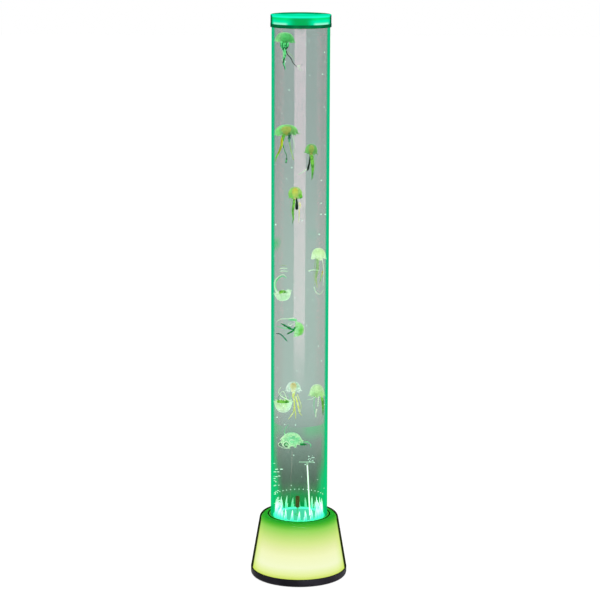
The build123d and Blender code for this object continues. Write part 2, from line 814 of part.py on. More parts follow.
with BuildPart() as pump_housing:
    with BuildSketch(Plane.XY.offset(pump_floor)):
        RectangleRounded(pump_length, pump_width, pump_corner_round)
    extrude(amount=pump_height)
    with BuildSketch(Plane.XY.offset(pump_inside)):
        RectangleRounded(pump_inner_length, pump_inner_width, pump_corner_round - pump_wall)
    extrude(amount=pump_height, mode=Mode.SUBTRACT)
    # Seat of the iron core, ears of the arm's pivot, bosses of the lid screws
    with BuildSketch(Plane.XY.offset(pump_inside)):
        with Locations((core_left + core_reach / 2, 0)):
            Rectangle(core_reach, core_depth - 2)
    extrude(amount=core_level - pump_inside)
    with BuildSketch(Plane.XY.offset(pump_inside)):
        with Locations((arm_pivot_x, 0)):
            with GridLocations(0, 2 * ear_offset, 1, 2):
                Rectangle(2 * arm_barrel_radius, pivot_ear)
    extrude(amount=arm_level + arm_barrel_radius - pump_inside)
    with BuildSketch(Plane.XY.offset(pump_inside)):
        with lid_boss_grid:
            Circle(lid_boss_radius)
    extrude(amount=pump_lid_foot - pump_inside)
    # Ledges that carry the valve box
    with BuildSketch(Plane.XY.offset(pump_inside)):
        with Locations((diaphragm_x, 0)):
            with GridLocations(0, pump_inner_width - ledge_width, 1, 2):
                Rectangle(2 * diaphragm_radius, ledge_width)
    extrude(amount=diaphragm_top - pump_inside)
    with BuildSketch(Plane.XZ):
        with Locations((arm_pivot_x, arm_level)):
            Circle(arm_pivot_radius + seat_gap)
    extrude(amount=ear_offset + pivot_ear, both=True, mode=Mode.SUBTRACT)
    with BuildSketch(Plane.XY.offset(pump_lid_foot)):
        with lid_boss_grid:
            Circle(small_screw_radius + seat_gap)
    extrude(amount=-small_screw_length, mode=Mode.SUBTRACT)
pump_housing.part.label = "pump_housing"
export_step(pump_housing.part, "parts/pump_housing.step")

with BuildPart() as pump_lid:
    with BuildSketch(Plane.XY.offset(pump_lid_foot)):
        RectangleRounded(pump_length, pump_width, pump_corner_round)
        with Locations((diaphragm_x, 0)):
            Circle(barb_radius + slip_gap, mode=Mode.SUBTRACT)
        with lid_boss_grid:
            Circle(small_screw_radius + seat_gap, mode=Mode.SUBTRACT)
    extrude(amount=lid_thickness)
pump_lid.part.label = "pump_lid"
export_step(pump_lid.part, "parts/pump_lid.step")

with BuildPart() as pump_lid_screws:
    with lid_boss_grid:
        with Locations(Location((0, 0, pump_lid_foot + lid_thickness), (180, 0, 0))):
            add(board_screw(small_screw_length))
pump_lid_screws.part.label = "pump_lid_screws"
export_step(pump_lid_screws.part, "parts/pump_lid_screws.step")

with BuildPart() as pump_core:
    with BuildSketch(Plane.XZ):
        with Locations((core_left + core_reach / 2, arm_level)):
            Rectangle(core_reach, core_height)
        with Locations((core_left + core_back + core_reach / 2, arm_level)):
            with GridLocations(0, core_leg + core_slot, 1, 2):
                Rectangle(core_reach, core_slot, mode=Mode.SUBTRACT)
    extrude(amount=core_depth / 2, both=True)
pump_core.part.label = "pump_core"
export_step(pump_core.part, "parts/pump_core.step")

with BuildPart() as pump_coil:
    with BuildSketch(Plane.YZ.offset(core_left + core_back + slip_gap)):
        with Locations((0, arm_level)):
            RectangleRounded(core_depth + 2 * coil_wall, core_leg + 2 * coil_wall, 2.0)
            Rectangle(core_depth + 2 * seat_gap, core_leg + 2 * seat_gap, mode=Mode.SUBTRACT)
    extrude(amount=coil_length)
pump_coil.part.label = "pump_coil"
export_step(pump_coil.part, "parts/pump_coil.step")

with BuildPart() as pump_arm:
    with BuildSketch(Plane.XZ):
        with BuildLine():
            Polyline(
                (core_right + magnet_gap + magnet_length, arm_level - arm_thickness / 2),
                (arm_pivot_x, arm_level - arm_thickness / 2),
                (arm_pivot_x, arm_level + arm_thickness / 2),
                (diaphragm_x + drive_stud_radius, arm_level + arm_thickness / 2),
                (diaphragm_x + drive_stud_radius, diaphragm_foot),
                (diaphragm_x - drive_stud_radius, diaphragm_foot),
                (diaphragm_x - drive_stud_radius, arm_level + arm_thickness / 2),
                (core_right + magnet_gap + magnet_length, arm_level + arm_thickness / 2),
                close=True,
            )
        make_face()
        with Locations((arm_pivot_x, arm_level)):
            Circle(arm_barrel_radius)
            Circle(arm_pivot_radius + seat_gap, mode=Mode.SUBTRACT)
    extrude(amount=arm_width / 2, both=True)
pump_arm.part.label = "pump_arm"
export_step(pump_arm.part, "parts/pump_arm.step")

with BuildPart() as pump_magnet:
    with Locations((core_right + magnet_gap + magnet_length / 2, 0, arm_level)):
        Box(magnet_length, arm_width, magnet_height)
    chamfer(pump_magnet.edges().filter_by(Axis.Y), 0.8)
pump_magnet.part.label = "pump_magnet"
export_step(pump_magnet.part, "parts/pump_magnet.step")

with BuildPart() as pump_pivot_pin:
    with BuildSketch(Plane.XZ):
        with Locations((arm_pivot_x, arm_level)):
            Circle(arm_pivot_radius)
    extrude(amount=ear_offset + pivot_ear / 2, both=True)
pump_pivot_pin.part.label = "pump_pivot_pin"
export_step(pump_pivot_pin.part, "parts/pump_pivot_pin.step")

with BuildPart() as pump_diaphragm:
    with BuildSketch(Plane.XZ):
        with BuildLine():
            Polyline(
                (0, diaphragm_foot),
                (0.5 * diaphragm_radius, diaphragm_foot),
                (0.8 * diaphragm_radius, diaphragm_top - diaphragm_wall),
                (diaphragm_radius, diaphragm_top - diaphragm_wall),
                (diaphragm_radius, diaphragm_top),
                (0.8 * diaphragm_radius - diaphragm_wall, diaphragm_top),
                (0.5 * diaphragm_radius - diaphragm_wall, diaphragm_foot + diaphragm_wall),
                (0, diaphragm_foot + diaphragm_wall),
                close=True,
            )
        make_face()
    revolve(axis=Axis.Z)
pump_diaphragm.part.label = "pump_diaphragm"
pump_diaphragm.part.position = (diaphragm_x, 0, 0)
export_step(pump_diaphragm.part, "parts/pump_diaphragm.step")

with BuildPart() as pump_valve_box:
    with BuildSketch(Plane.XY.offset(diaphragm_top)):
        with Locations((diaphragm_x, 0)):
            Rectangle(2 * diaphragm_radius + 2, pump_inner_width - 2 * seat_gap)
    extrude(amount=valve_box_height)
    with BuildSketch(Plane.XY.offset(pump_lid_foot)):
        with Locations((diaphragm_x, 0)):
            Circle(barb_radius)
    extrude(amount=lid_thickness + barb_length)
    with BuildSketch(Plane.XY.offset(diaphragm_top)):
        with Locations((diaphragm_x, 0)):
            Circle(0.8 * diaphragm_radius - diaphragm_wall)
    extrude(amount=valve_box_height / 2, mode=Mode.SUBTRACT)
    with BuildSketch(Plane.XY.offset(diaphragm_top)):
        with Locations((diaphragm_x, 0)):
            Circle(barb_bore)
    extrude(amount=valve_box_height + lid_thickness + barb_length, mode=Mode.SUBTRACT)
pump_valve_box.part.label = "pump_valve_box"
export_step(pump_valve_box.part, "parts/pump_valve_box.step")

# ---------------------------------------------------------------- air line
tail_foot = floor_disc_bottom - nut_thickness - nozzle_tail
valve_top = tail_foot
valve_bottom = valve_top - valve_body_height
hose_foot = pump_lid_foot + lid_thickness + 0.3
hose_top = valve_bottom - 0.3
hose_straight = hose_straight_share * (hose_top - hose_foot)
hose_turn = math.atan2(diaphragm_x - nozzle_x, hose_top - hose_foot - 2 * hose_straight)
hose_bend = hose_bend_share * hose_straight / math.tan(hose_turn / 2)
nozzle_plane = Plane(origin=(nozzle_x, 0, 0), x_dir=(1, 0, 0), z_dir=(0, -1, 0))

with BuildPart() as air_hose:
    with BuildLine() as hose_route:
        FilletPolyline(
            (diaphragm_x, 0, hose_foot),
            (diaphragm_x, 0, hose_foot + hose_straight),
            (nozzle_x, 0, hose_top - hose_straight),
            (nozzle_x, 0, hose_top),
            radius=hose_bend,
        )
    with BuildSketch(Plane.XY.offset(hose_foot)):
        with Locations((diaphragm_x, 0)):
            Circle(hose_radius)
            Circle(hose_bore, mode=Mode.SUBTRACT)
    sweep(path=hose_route.wires()[0])
air_hose.part.label = "air_hose"
export_step(air_hose.part, "parts/air_hose.step")

with BuildPart() as check_valve:
    with BuildSketch(nozzle_plane):
        with BuildLine():
            Polyline(
                (barb_bore, valve_bottom - barb_length),
                (barb_radius, valve_bottom - barb_length),
                (barb_radius, valve_bottom),
                (valve_body_radius, valve_bottom),
                (valve_body_radius, valve_top),
                (hose_radius + 0.5, valve_top),
                (hose_radius + 0.5, valve_top + valve_sleeve),
                (nozzle_spigot_radius + seat_gap, valve_top + valve_sleeve),
                (nozzle_spigot_radius + seat_gap, valve_top),
                (barb_bore, valve_top),
                close=True,
            )
        make_face()
    revolve(axis=Axis((nozzle_x, 0, 0), (0, 0, 1)))
check_valve.part.label = "check_valve"
export_step(check_valve.part, "parts/check_valve.step")

with BuildPart() as floor_nozzle:
    with BuildSketch(nozzle_plane):
        with BuildLine():
            Polyline(
                (nozzle_bore, tail_foot),
                (nozzle_spigot_radius, tail_foot),
                (nozzle_spigot_radius, floor_disc_bottom - nut_thickness - washer_thickness),
                (nozzle_stem_radius, floor_disc_bottom - nut_thickness - washer_thickness),
                (nozzle_stem_radius, floor_disc_top),
                (nozzle_flange_radius, floor_disc_top),
                (nozzle_flange_radius, floor_disc_top + nozzle_flange),
                (nozzle_spigot_radius, floor_disc_top + nozzle_flange),
                (nozzle_spigot_radius, floor_disc_top + nozzle_flange + nozzle_spigot),
                (nozzle_bore, floor_disc_top + nozzle_flange + nozzle_spigot),
                close=True,
            )
        make_face()
    revolve(axis=Axis((nozzle_x, 0, 0), (0, 0, 1)))
    with BuildSketch(Plane.YZ.offset(nozzle_x)):
        with Locations((0, floor_disc_top - riser_socket_depth + riser_bore)):
            Circle(riser_bore)
    extrude(amount=nozzle_stem_radius + 1, mode=Mode.SUBTRACT)
floor_nozzle.part.label = "floor_nozzle"
export_step(floor_nozzle.part, "parts/floor_nozzle.step")

with BuildPart() as nozzle_washer:
    with BuildSketch(Plane.XY.offset(floor_disc_bottom - washer_thickness)):
        with Locations((nozzle_x, 0)):
            Circle(nozzle_flange_radius)
            Circle(nozzle_stem_radius + seat_gap, mode=Mode.SUBTRACT)
    extrude(amount=washer_thickness)
nozzle_washer.part.label = "nozzle_washer"
export_step(nozzle_washer.part, "parts/nozzle_washer.step")

with BuildPart() as nozzle_nut:
    with BuildSketch(Plane.XY.offset(floor_disc_bottom - washer_thickness - nut_thickness)):
        with Locations((nozzle_x, 0)):
            RegularPolygon(nut_across / 2, 6, major_radius=False)
            Circle(nozzle_stem_radius + seat_gap, mode=Mode.SUBTRACT)
    extrude(amount=nut_thickness)
nozzle_nut.part.label = "nozzle_nut"
export_step(nozzle_nut.part, "parts/nozzle_nut.step")

stone_foot = floor_disc_top + stone_rise
with BuildPart() as air_stone:
    with BuildSketch(Plane.XY.offset(stone_foot)):
        with Locations((nozzle_x, 0)):
            Circle(stone_radius)
    extrude(amount=stone_height)
    fillet(air_stone.edges().group_by(Axis.Z)[-1], 1.5)
    with BuildSketch(Plane.XY.offset(stone_foot)):
        with Locations((nozzle_x, 0)):
            Circle(nozzle_spigot_radius + seat_gap)
    extrude(amount=stone_height / 2, mode=Mode.SUBTRACT)
air_stone.part.label = "air_stone"
export_step(air_stone.part, "parts/air_stone.step")

with BuildPart() as riser_pipe:
    with BuildSketch(riser_plane.offset(-riser_socket_depth)):
        Circle(riser_radius)
        Circle(riser_bore, mode=Mode.SUBTRACT)
    extrude(amount=riser_socket_depth + riser_rise.length - tee_radius - 0.6)
riser_pipe.part.label = "riser_pipe"
export_step(riser_pipe.part, "parts/riser_pipe.step")

with BuildPart() as riser_tee:
    with BuildSketch(riser_plane.offset(riser_rise.length - tee_sleeve)):
        Circle(riser_radius + tee_wall)
    extrude(amount=tee_sleeve)
    with BuildSketch(Plane.YZ.offset(riser_top_x - tee_left)):
        with Locations((0, riser_top_height)):
            Circle(tee_radius)
    extrude(amount=tee_left + tee_right)
    with BuildSketch(riser_plane.offset(riser_rise.length - tee_sleeve)):
        Circle(riser_radius + seat_gap)
    extrude(amount=tee_sleeve - tee_radius - 0.6, mode=Mode.SUBTRACT)
    with BuildSketch(Plane.YZ.offset(riser_top_x - tee_left)):
        with Locations((0, riser_top_height)):
            Circle(riser_bore)
    extrude(amount=tee_left + tee_right, mode=Mode.SUBTRACT)
riser_tee.part.label = "riser_tee"
export_step(riser_tee.part, "parts/riser_tee.step")

# ---------------------------------------------------------------- ring of blades
lean = math.radians(blade_lean)
with BuildPart() as blade_ring:
    with BuildSketch(Plane.XY.offset(floor_disc_top)):
        Circle(blade_ring_radius)
        Circle(blade_ring_radius - blade_ring_width, mode=Mode.SUBTRACT)
    extrude(amount=blade_ring_height)
    for index in range(blade_count):
        turn = 360 * index / blade_count
        mix = 0.5 + 0.5 * math.sin(2.4 * index) * math.cos(0.9 * index)
        length = blade_short + (blade_long - blade_short) * mix
        tip_shift = 0.3 * blade_width * math.sin(1.7 * index)
        stand = Plane.XY.rotated((0, 0, turn)).offset(floor_disc_top + blade_ring_height / 2)
        foot = stand.origin + stand.x_dir * (blade_ring_radius - blade_inset)
        facing = stand.x_dir * math.cos(lean) + stand.z_dir * math.sin(lean)
        with BuildSketch(Plane(origin=foot, x_dir=stand.y_dir, z_dir=facing)):
            with BuildLine():
                Line((-blade_width / 2, 0), (blade_width / 2, 0))
                ThreePointArc(
                    (blade_width / 2, 0),
                    (0.36 * blade_width + 0.5 * tip_shift, 0.5 * length),
                    (tip_shift, length),
                )
                ThreePointArc(
                    (tip_shift, length),
                    (-0.36 * blade_width + 0.5 * tip_shift, 0.5 * length),
                    (-blade_width / 2, 0),
                )
            make_face()
        extrude(amount=-blade_thickness)
blade_ring.part.label = "blade_ring"
export_step(blade_ring.part, "parts/blade_ring.step")

# ---------------------------------------------------------------- jellyfish
for number, jelly in enumerate(jellyfish_sizes, start=1):
    level, turn, wall_gap, bell_radius, bell_height, lean_right, lean_back, arm_length = jelly
    reach = tube_bore_radius - bell_radius - wall_gap
    rim_x = reach * math.cos(math.radians(turn))
    rim_y = reach * math.sin(math.radians(turn))
    rim_z = floor_disc_top + level * (tube_top - floor_disc_top)
    hub_radius = 0.24 * bell_radius
    crown_radius = (bell_radius**2 + bell_height**2) / (2 * bell_height)
    crown_centre = bell_height - crown_radius
    inner_radius = crown_radius - bell_wall
    outer_start = math.degrees(math.asin(-crown_centre / crown_radius))
    inner_start = math.degrees(math.asin(-crown_centre / inner_radius))
    with BuildPart() as jellyfish:
        # The bell: a domed shell open below
        with BuildSketch(Plane.XZ):
            with BuildLine():
                CenterArc((0, crown_centre), crown_radius, outer_start, 90 - outer_start)
                CenterArc((0, crown_centre), inner_radius, inner_start, 90 - inner_start)
                Line((0, bell_height), (0, bell_height - bell_wall))
                Line(
                    (bell_radius, 0),
                    (inner_radius * math.cos(math.radians(inner_start)), 0),
                )
            make_face()
        revolve(axis=Axis.Z)
        # The hub under the crown and four ribbon arms that hang from it
        with BuildSketch(Plane.XY):
            Circle(hub_radius)
        extrude(amount=bell_height - bell_wall / 2 - crown_radius
                + math.sqrt(crown_radius**2 - hub_radius**2))
        for arm in range(4):
            with BuildSketch(Plane.XZ.rotated((0, 0, 45 + 90 * arm))):
                with BuildLine():
                    Polyline(
                        (0, 0.3 * bell_height),
                        (1.1 * hub_radius, 0.1 * bell_height),
                        (0.42 * bell_radius, -0.3 * arm_length),
                        (0.30 * bell_radius, -0.62 * arm_length),
                        (0.46 * bell_radius, -arm_length * (1 - 0.08 * arm)),
                        (0.20 * bell_radius, -0.60 * arm_length),
                        (0.30 * bell_radius, -0.28 * arm_length),
                        (0, 0),
                        close=True,
                    )
                make_face()
            extrude(amount=arm_ribbon / 2, both=True)
    jellyfish.part.label = f"jellyfish_{number:02d}"
    jellyfish.part.orientation = (-lean_back, lean_right, 0)
    jellyfish.part.position = (rim_x, rim_y, rim_z)
    export_step(jellyfish.part, f"parts/jellyfish_{number:02d}.step")
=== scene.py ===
"""Looks of a bubble tube floor lamp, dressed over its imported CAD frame.

A clear acrylic column of water stands on a lit cone. Soft jellyfish float in it, a ring of
pointed light blades stands on its floor, and a lift-off cap closes it. Everything is in metres,
+Z up, the front of the lamp towards -Y.
"""
import logging
import math
import random
from dataclasses import dataclass
from enum import Enum
from typing import Any, Callable, Iterable, Sequence

import bmesh
import bpy
from mathutils import Matrix, Vector


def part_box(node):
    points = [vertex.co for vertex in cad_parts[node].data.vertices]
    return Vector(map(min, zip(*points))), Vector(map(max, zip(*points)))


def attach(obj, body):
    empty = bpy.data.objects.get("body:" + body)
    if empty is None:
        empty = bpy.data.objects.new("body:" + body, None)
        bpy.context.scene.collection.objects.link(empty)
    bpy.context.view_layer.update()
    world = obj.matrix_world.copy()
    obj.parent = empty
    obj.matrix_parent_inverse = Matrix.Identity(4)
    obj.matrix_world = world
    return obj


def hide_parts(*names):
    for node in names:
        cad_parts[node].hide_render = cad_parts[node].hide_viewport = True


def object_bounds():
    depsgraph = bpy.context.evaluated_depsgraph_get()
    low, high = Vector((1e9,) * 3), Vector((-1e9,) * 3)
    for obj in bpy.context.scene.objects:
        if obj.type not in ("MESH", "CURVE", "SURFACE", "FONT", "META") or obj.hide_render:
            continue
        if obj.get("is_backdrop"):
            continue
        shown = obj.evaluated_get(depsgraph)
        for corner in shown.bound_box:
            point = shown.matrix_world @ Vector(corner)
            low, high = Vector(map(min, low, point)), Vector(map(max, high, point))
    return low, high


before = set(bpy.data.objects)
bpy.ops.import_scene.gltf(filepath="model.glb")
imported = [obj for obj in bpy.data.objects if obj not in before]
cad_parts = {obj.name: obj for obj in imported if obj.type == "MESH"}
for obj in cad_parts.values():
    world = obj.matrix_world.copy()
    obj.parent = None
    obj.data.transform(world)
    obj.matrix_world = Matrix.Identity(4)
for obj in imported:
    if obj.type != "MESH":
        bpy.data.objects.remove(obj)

log = logging.getLogger("bubble_lamp")

Colour = tuple[float, float, float]
Point = tuple[float, float, float]
Span = tuple[float, float]
Step = tuple[float, float, float, float]
Stops = Sequence[tuple[float, Colour]]
Socket = bpy.types.NodeSocket
MM = 0.001
FULL_TURN = 2 * math.pi
TUBE_WALL = 0.005
WHITE: Colour = (1.0, 1.0, 1.0)
UNLIT: Colour = (0.0, 0.0, 0.0)


def paint(red: int, green: int, blue: int, gain: float = 1.0) -> Colour:
    """A screen colour as scene light.

    Args:
        red: Red, 0 to 255.
        green: Green, 0 to 255.
        blue: Blue, 0 to 255.
        gain: What the light is multiplied by.

    Returns:
        Linear red, green and blue, by the usual screen curve.
    """

    def linear(channel: int) -> float:
        """One channel as linear light."""
        share = channel / 255
        return gain * (share / 12.92 if share <= 0.04045 else ((share + 0.055) / 1.055) ** 2.4)

    return linear(red), linear(green), linear(blue)


def dimmed(colour: Colour, gain: float) -> Colour:
    """A colour with each channel multiplied by gain."""
    return tuple(gain * channel for channel in colour)


def around_axis(reach: float, turn: float, height: float) -> Vector:
    """The point that far from an upright axis, in that direction and at that height."""
    return Vector((reach * math.cos(turn), reach * math.sin(turn), height))


@dataclass(frozen=True)
class Bore:
    """The space inside the tube: its radius and the heights of its floor and rim."""

    radius: float
    floor: float
    rim: float

    @classmethod
    def measured(cls) -> "Bore":
        """The bore of the frame's own tube."""
        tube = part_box("water_tube")[1]
        return cls(tube.x - TUBE_WALL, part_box("tube_floor")[1].z, tube.z)


# ------------------------------------------------------------------ shader maths
class Value:
    """A number socket. An expression on values adds Math nodes to their shader."""

    def __init__(self, shader: "Shader", socket: Socket) -> None:
        """Keeps the socket and the shader that it belongs to."""
        self.shader = shader
        self.socket = socket

    def maths(self, operation: str, *others: "Value | float",
              first: float | None = None) -> "Value":
        """Adds a Math node.

        Args:
            operation: The node's operation.
            others: Its operands after this value.
            first: An operand that comes before this value, for reflected forms.

        Returns:
            The node's result.
        """
        operands = ([] if first is None else [first]) + [self, *others]
        node = self.shader.node("ShaderNodeMath", {"operation": operation},
                                dict(enumerate(operands)))
        return Value(self.shader, node.outputs[0])

    def __add__(self, other: "Value | float") -> "Value":
        """This value plus another."""
        return self.maths("ADD", other)

    __radd__ = __add__

    def __sub__(self, other: "Value | float") -> "Value":
        """This value minus another."""
        return self.maths("SUBTRACT", other)

    def __rsub__(self, other: float) -> "Value":
        """A number minus this value."""
        return self.maths("SUBTRACT", first=other)

    def __mul__(self, other: "Value | float") -> "Value":
        """This value times another."""
        return self.maths("MULTIPLY", other)

    __rmul__ = __mul__

    def __truediv__(self, other: "Value | float") -> "Value":
        """This value divided by another."""
        return self.maths("DIVIDE", other)

    def __pow__(self, power: float) -> "Value":
        """This value to a power."""
        return self.maths("POWER", power)

    def sine(self) -> "Value":
        """The sine of this value."""
        return self.maths("SINE")

    def cosine(self) -> "Value":
        """The cosine of this value."""
        return self.maths("COSINE")

    def at_most(self, limit: "Value | float") -> "Value":
        """The smaller of this value and a limit."""
        return self.maths("MINIMUM", limit)

    def step(self, start: float, end: float, low: float = 0.0, high: float = 1.0) -> "Value":
        """A smooth step, which may also run downwards from start to end.

        Args:
            start: Where the step starts.
            end: Where it ends.
            low: The result before it.
            high: The result after it.

        Returns:
            The stepped value.
        """
        node = self.shader.node(
            "ShaderNodeMapRange", {"interpolation_type": "SMOOTHSTEP"},
            {"Value": self, "From Min": start, "From Max": end, "To Min": low, "To Max": high})
        return Value(self.shader, node.outputs["Result"])


class Shader:
    """The node tree of a material or world, built node by node."""

    def __init__(self, owner: bpy.types.Material | bpy.types.World) -> None:
        """Empties the owner's node tree.

        Args:
            owner: The new material or world.
        """
        owner.use_nodes = True
        self.owner = owner
        self.tree = owner.node_tree
        self.tree.nodes.clear()

    def node(self, kind: str, settings: dict[str, Any] | None = None,
             inputs: dict[Any, Any] | None = None) -> bpy.types.Node:
        """Adds a node.

        Args:
            kind: The node's type.
            settings: Its properties, set first. A ramp's stops go under "stops".
            inputs: Values or links of its sockets, by name or number.

        Returns:
            The new node.
        """
        node = self.tree.nodes.new(kind)
        for key, value in (settings or {}).items():
            if key == "stops":
                self._set_stops(node.color_ramp, value)
            else:
                setattr(node, key, value)
        for key, value in (inputs or {}).items():
            if isinstance(value, Value):
                value = value.socket
            if isinstance(value, Socket):
                self.tree.links.new(value, node.inputs[key])
                continue
            if isinstance(value, tuple) and len(value) == 3 \
                    and node.inputs[key].type == "RGBA":
                value = (*value, 1.0)
            node.inputs[key].default_value = value
        return node

    @staticmethod
    def _set_stops(ramp: bpy.types.ColorRamp, stops: Stops) -> None:
        """Gives a colour ramp its stops.

        Args:
            ramp: The ramp, with its first two stops.
            stops: Two places and colours or more, from 0 to 1.
        """
        ramp.interpolation = "EASE" if len(stops) == 2 else "LINEAR"
        for _ in stops[2:]:
            ramp.elements.new(1.0)
        for element, (place, colour) in zip(ramp.elements, stops):
            element.position = place
            element.color = (*colour, 1.0)

    def place(self) -> Socket:
        """The point on the piece, in the lamp's own frame."""
        return self.node("ShaderNodeTexCoord").outputs["Object"]

    def axes(self) -> tuple[Value, Value, Value]:
        """The point's x, y and z as values."""
        node = self.node("ShaderNodeSeparateXYZ", inputs={0: self.place()})
        return tuple(Value(self, output) for output in node.outputs)

    def distance_from_axis(self) -> Value:
        """How far the point is from the lamp's axis."""
        x, y, _ = self.axes()
        return (x * x + y * y) ** 0.5

    def turn(self) -> Value:
        """The direction of the point from the axis, in radians, 0 at the front."""
        x, y, _ = self.axes()
        return x.maths("ARCTAN2", y * -1)

    def attribute(self, name: str) -> Value:
        """A number that the mesh carries at each corner."""
        node = self.node("ShaderNodeAttribute", {"attribute_name": name})
        return Value(self, node.outputs["Fac"])

    def facing(self) -> Value:
        """0 where the surface is looked at squarely and 1 where it is grazed."""
        return Value(self, self.node("ShaderNodeLayerWeight", inputs={"Blend": 0.5})
                     .outputs["Facing"])

    def seen_from_behind(self) -> Value:
        """1 on a face that is looked at from its inner side."""
        return Value(self, self.node("ShaderNodeNewGeometry").outputs["Backfacing"])

    def noise(self, scale: float, detail: float = 2.0, stretch: Point = (1, 1, 1),
              distortion: float = 0.0) -> Value:
        """Smooth noise over the point.

        Args:
            scale: Waves per metre.
            detail: How many finer layers it has.
            stretch: What each axis is multiplied by before it.
            distortion: How far it is stirred.

        Returns:
            A value about 0.5.
        """
        where = self.node("ShaderNodeMapping", inputs={"Vector": self.place(),
                                                       "Scale": stretch})
        node = self.node("ShaderNodeTexNoise", inputs={
            "Vector": where.outputs[0], "Scale": scale, "Detail": detail,
            "Distortion": distortion})
        return Value(self, node.outputs["Fac"])

    def ramp(self, value: Value, stops: Stops) -> Socket:
        """A colour from a value by a ramp's stops."""
        node = self.node("ShaderNodeValToRGB", {"stops": stops}, {0: value})
        return node.outputs["Color"]

    def blend(self, share: "Value | float", first: Any, second: Any) -> Socket:
        """Two colours or colour sockets mixed, by the share of the second."""
        node = self.node("ShaderNodeMix", {"data_type": "RGBA"},
                         {"Factor": share, 6: first, 7: second})
        return node.outputs[2]

    def bump(self, height: Value, depth: float) -> Socket:
        """A normal bumped by a height of 0 to 1, where 1 means depth in metres."""
        node = self.node("ShaderNodeBump", inputs={"Height": height, "Distance": depth})
        return node.outputs["Normal"]

    def film(self, tint: Colour) -> Socket:
        """A clear surface that tints what is behind it."""
        return self.node("ShaderNodeBsdfTransparent", inputs={"Color": tint}).outputs[0]

    def glow(self, colour: Any, strength: float = 1.0) -> Socket:
        """A surface that shines by itself."""
        return self.node("ShaderNodeEmission",
                         inputs={"Color": colour, "Strength": strength}).outputs[0]

    def gloss(self, roughness: float, tint: Colour = WHITE) -> Socket:
        """A clear coat's reflection."""
        return self.node("ShaderNodeBsdfAnisotropic", {"distribution": "GGX"},
                         {"Color": tint, "Roughness": roughness}).outputs[0]

    def solid(self, inputs: dict[str, Any]) -> Socket:
        """A Principled surface with those inputs."""
        return self.node("ShaderNodeBsdfPrincipled", inputs=inputs).outputs[0]

    def mix(self, share: "Value | float", first: Socket, second: Socket) -> Socket:
        """Two surfaces mixed, by the share of the second."""
        return self.node("ShaderNodeMixShader", inputs={0: share, 1: first, 2: second}).outputs[0]

    def finished(self, surface: Socket) -> bpy.types.Material | bpy.types.World:
        """Joins the surface to the output.

        Args:
            surface: The whole surface.

        Returns:
            The material or world.
        """
        kind = "World" if isinstance(self.owner, bpy.types.World) else "Material"
        self.node(f"ShaderNodeOutput{kind}", inputs={"Surface": surface})
        return self.owner


# ------------------------------------------------------------------ finishes
class Recipe:
    """What every finish shares: a material made from its own surface."""

    def surface(self, shader: Shader) -> Socket:
        """The finish's own surface.

        Args:
            shader: The shader that gets its nodes.

        Returns:
            The whole surface.
        """
        raise NotImplementedError(type(self).__name__)

    def make(self, name: str) -> bpy.types.Material:
        """Makes the material of that name."""
        shader = Shader(bpy.data.materials.new(name))
        return shader.finished(self.surface(shader))


@dataclass(frozen=True)
class Moulding(Recipe):
    """Moulded plastic or rubber with a fine grain and broad, faint flow marks.

    Where the marks are lightened far, as on the black plastic, they are painted sheen.
    """

    colour: Colour
    roughness: float = 0.4
    grain: float = 2600.0
    grain_depth: float = 0.00004
    grain_roughness: float = 0.1
    coat: float = 0.0
    coat_roughness: float = 0.12
    glow: Colour = UNLIT
    specular: float = 0.5
    marks: float = 26.0
    marks_span: Span = (0.3, 0.7)
    marks_roughness: float = 0.12
    marks_loss: float = 0.86
    marks_and_sheen_gain: float = 1.12

    def surface(self, shader: Shader) -> Socket:
        """Grain and marks on one colour.

        Args:
            shader: The shader that gets its nodes.

        Returns:
            The whole surface.
        """
        grain = shader.noise(self.grain, 2.0)
        marks = shader.noise(self.marks, 3.0)
        smoothest = self.roughness - (self.grain_roughness + self.marks_roughness) / 2
        roughness = grain * self.grain_roughness + marks * self.marks_roughness + smoothest
        return shader.solid({
            # Lighter marks: flow marks, and painted sheen where their gain is large.
            "Base Color": shader.blend(marks.step(*self.marks_span),
                                       dimmed(self.colour, self.marks_loss),
                                       dimmed(self.colour, self.marks_and_sheen_gain)),
            "Specular IOR Level": self.specular,
            "Roughness": roughness,
            "Coat Weight": self.coat,
            "Coat Roughness": self.coat_roughness,
            "Emission Color": self.glow,
            "Emission Strength": 1.0,
            "Normal": shader.bump(grain, self.grain_depth),
        })


@dataclass(frozen=True)
class Metal(Recipe):
    """Turned, plated or stacked metal with fine marks along one axis and duller patches."""

    colour: Colour
    roughness: float = 0.3
    marks: Point = (1.0, 1.0, 12.0)
    pitch: float = 900.0
    marks_depth: float = 0.00002
    marks_roughness: float = 0.18
    patches: float = 120.0
    patch_span: Span = (0.35, 0.7)
    patch_loss: float = 0.78
    patch_roughness: float = 0.1

    def surface(self, shader: Shader) -> Socket:
        """Marks and patches on one metal.

        Args:
            shader: The shader that gets its nodes.

        Returns:
            The whole surface.
        """
        marks = shader.noise(self.pitch, 2.0, self.marks)
        patches = shader.noise(self.patches, 3.0)
        smoothest = self.roughness - (self.marks_roughness + self.patch_roughness) / 2
        roughness = marks * self.marks_roughness + patches * self.patch_roughness + smoothest
        return shader.solid({
            "Base Color": shader.blend(patches.step(*self.patch_span),
                                       dimmed(self.colour, self.patch_loss), self.colour),
            "Metallic": 1.0,
            "Roughness": roughness,
            "Normal": shader.bump(marks, self.marks_depth),
        })


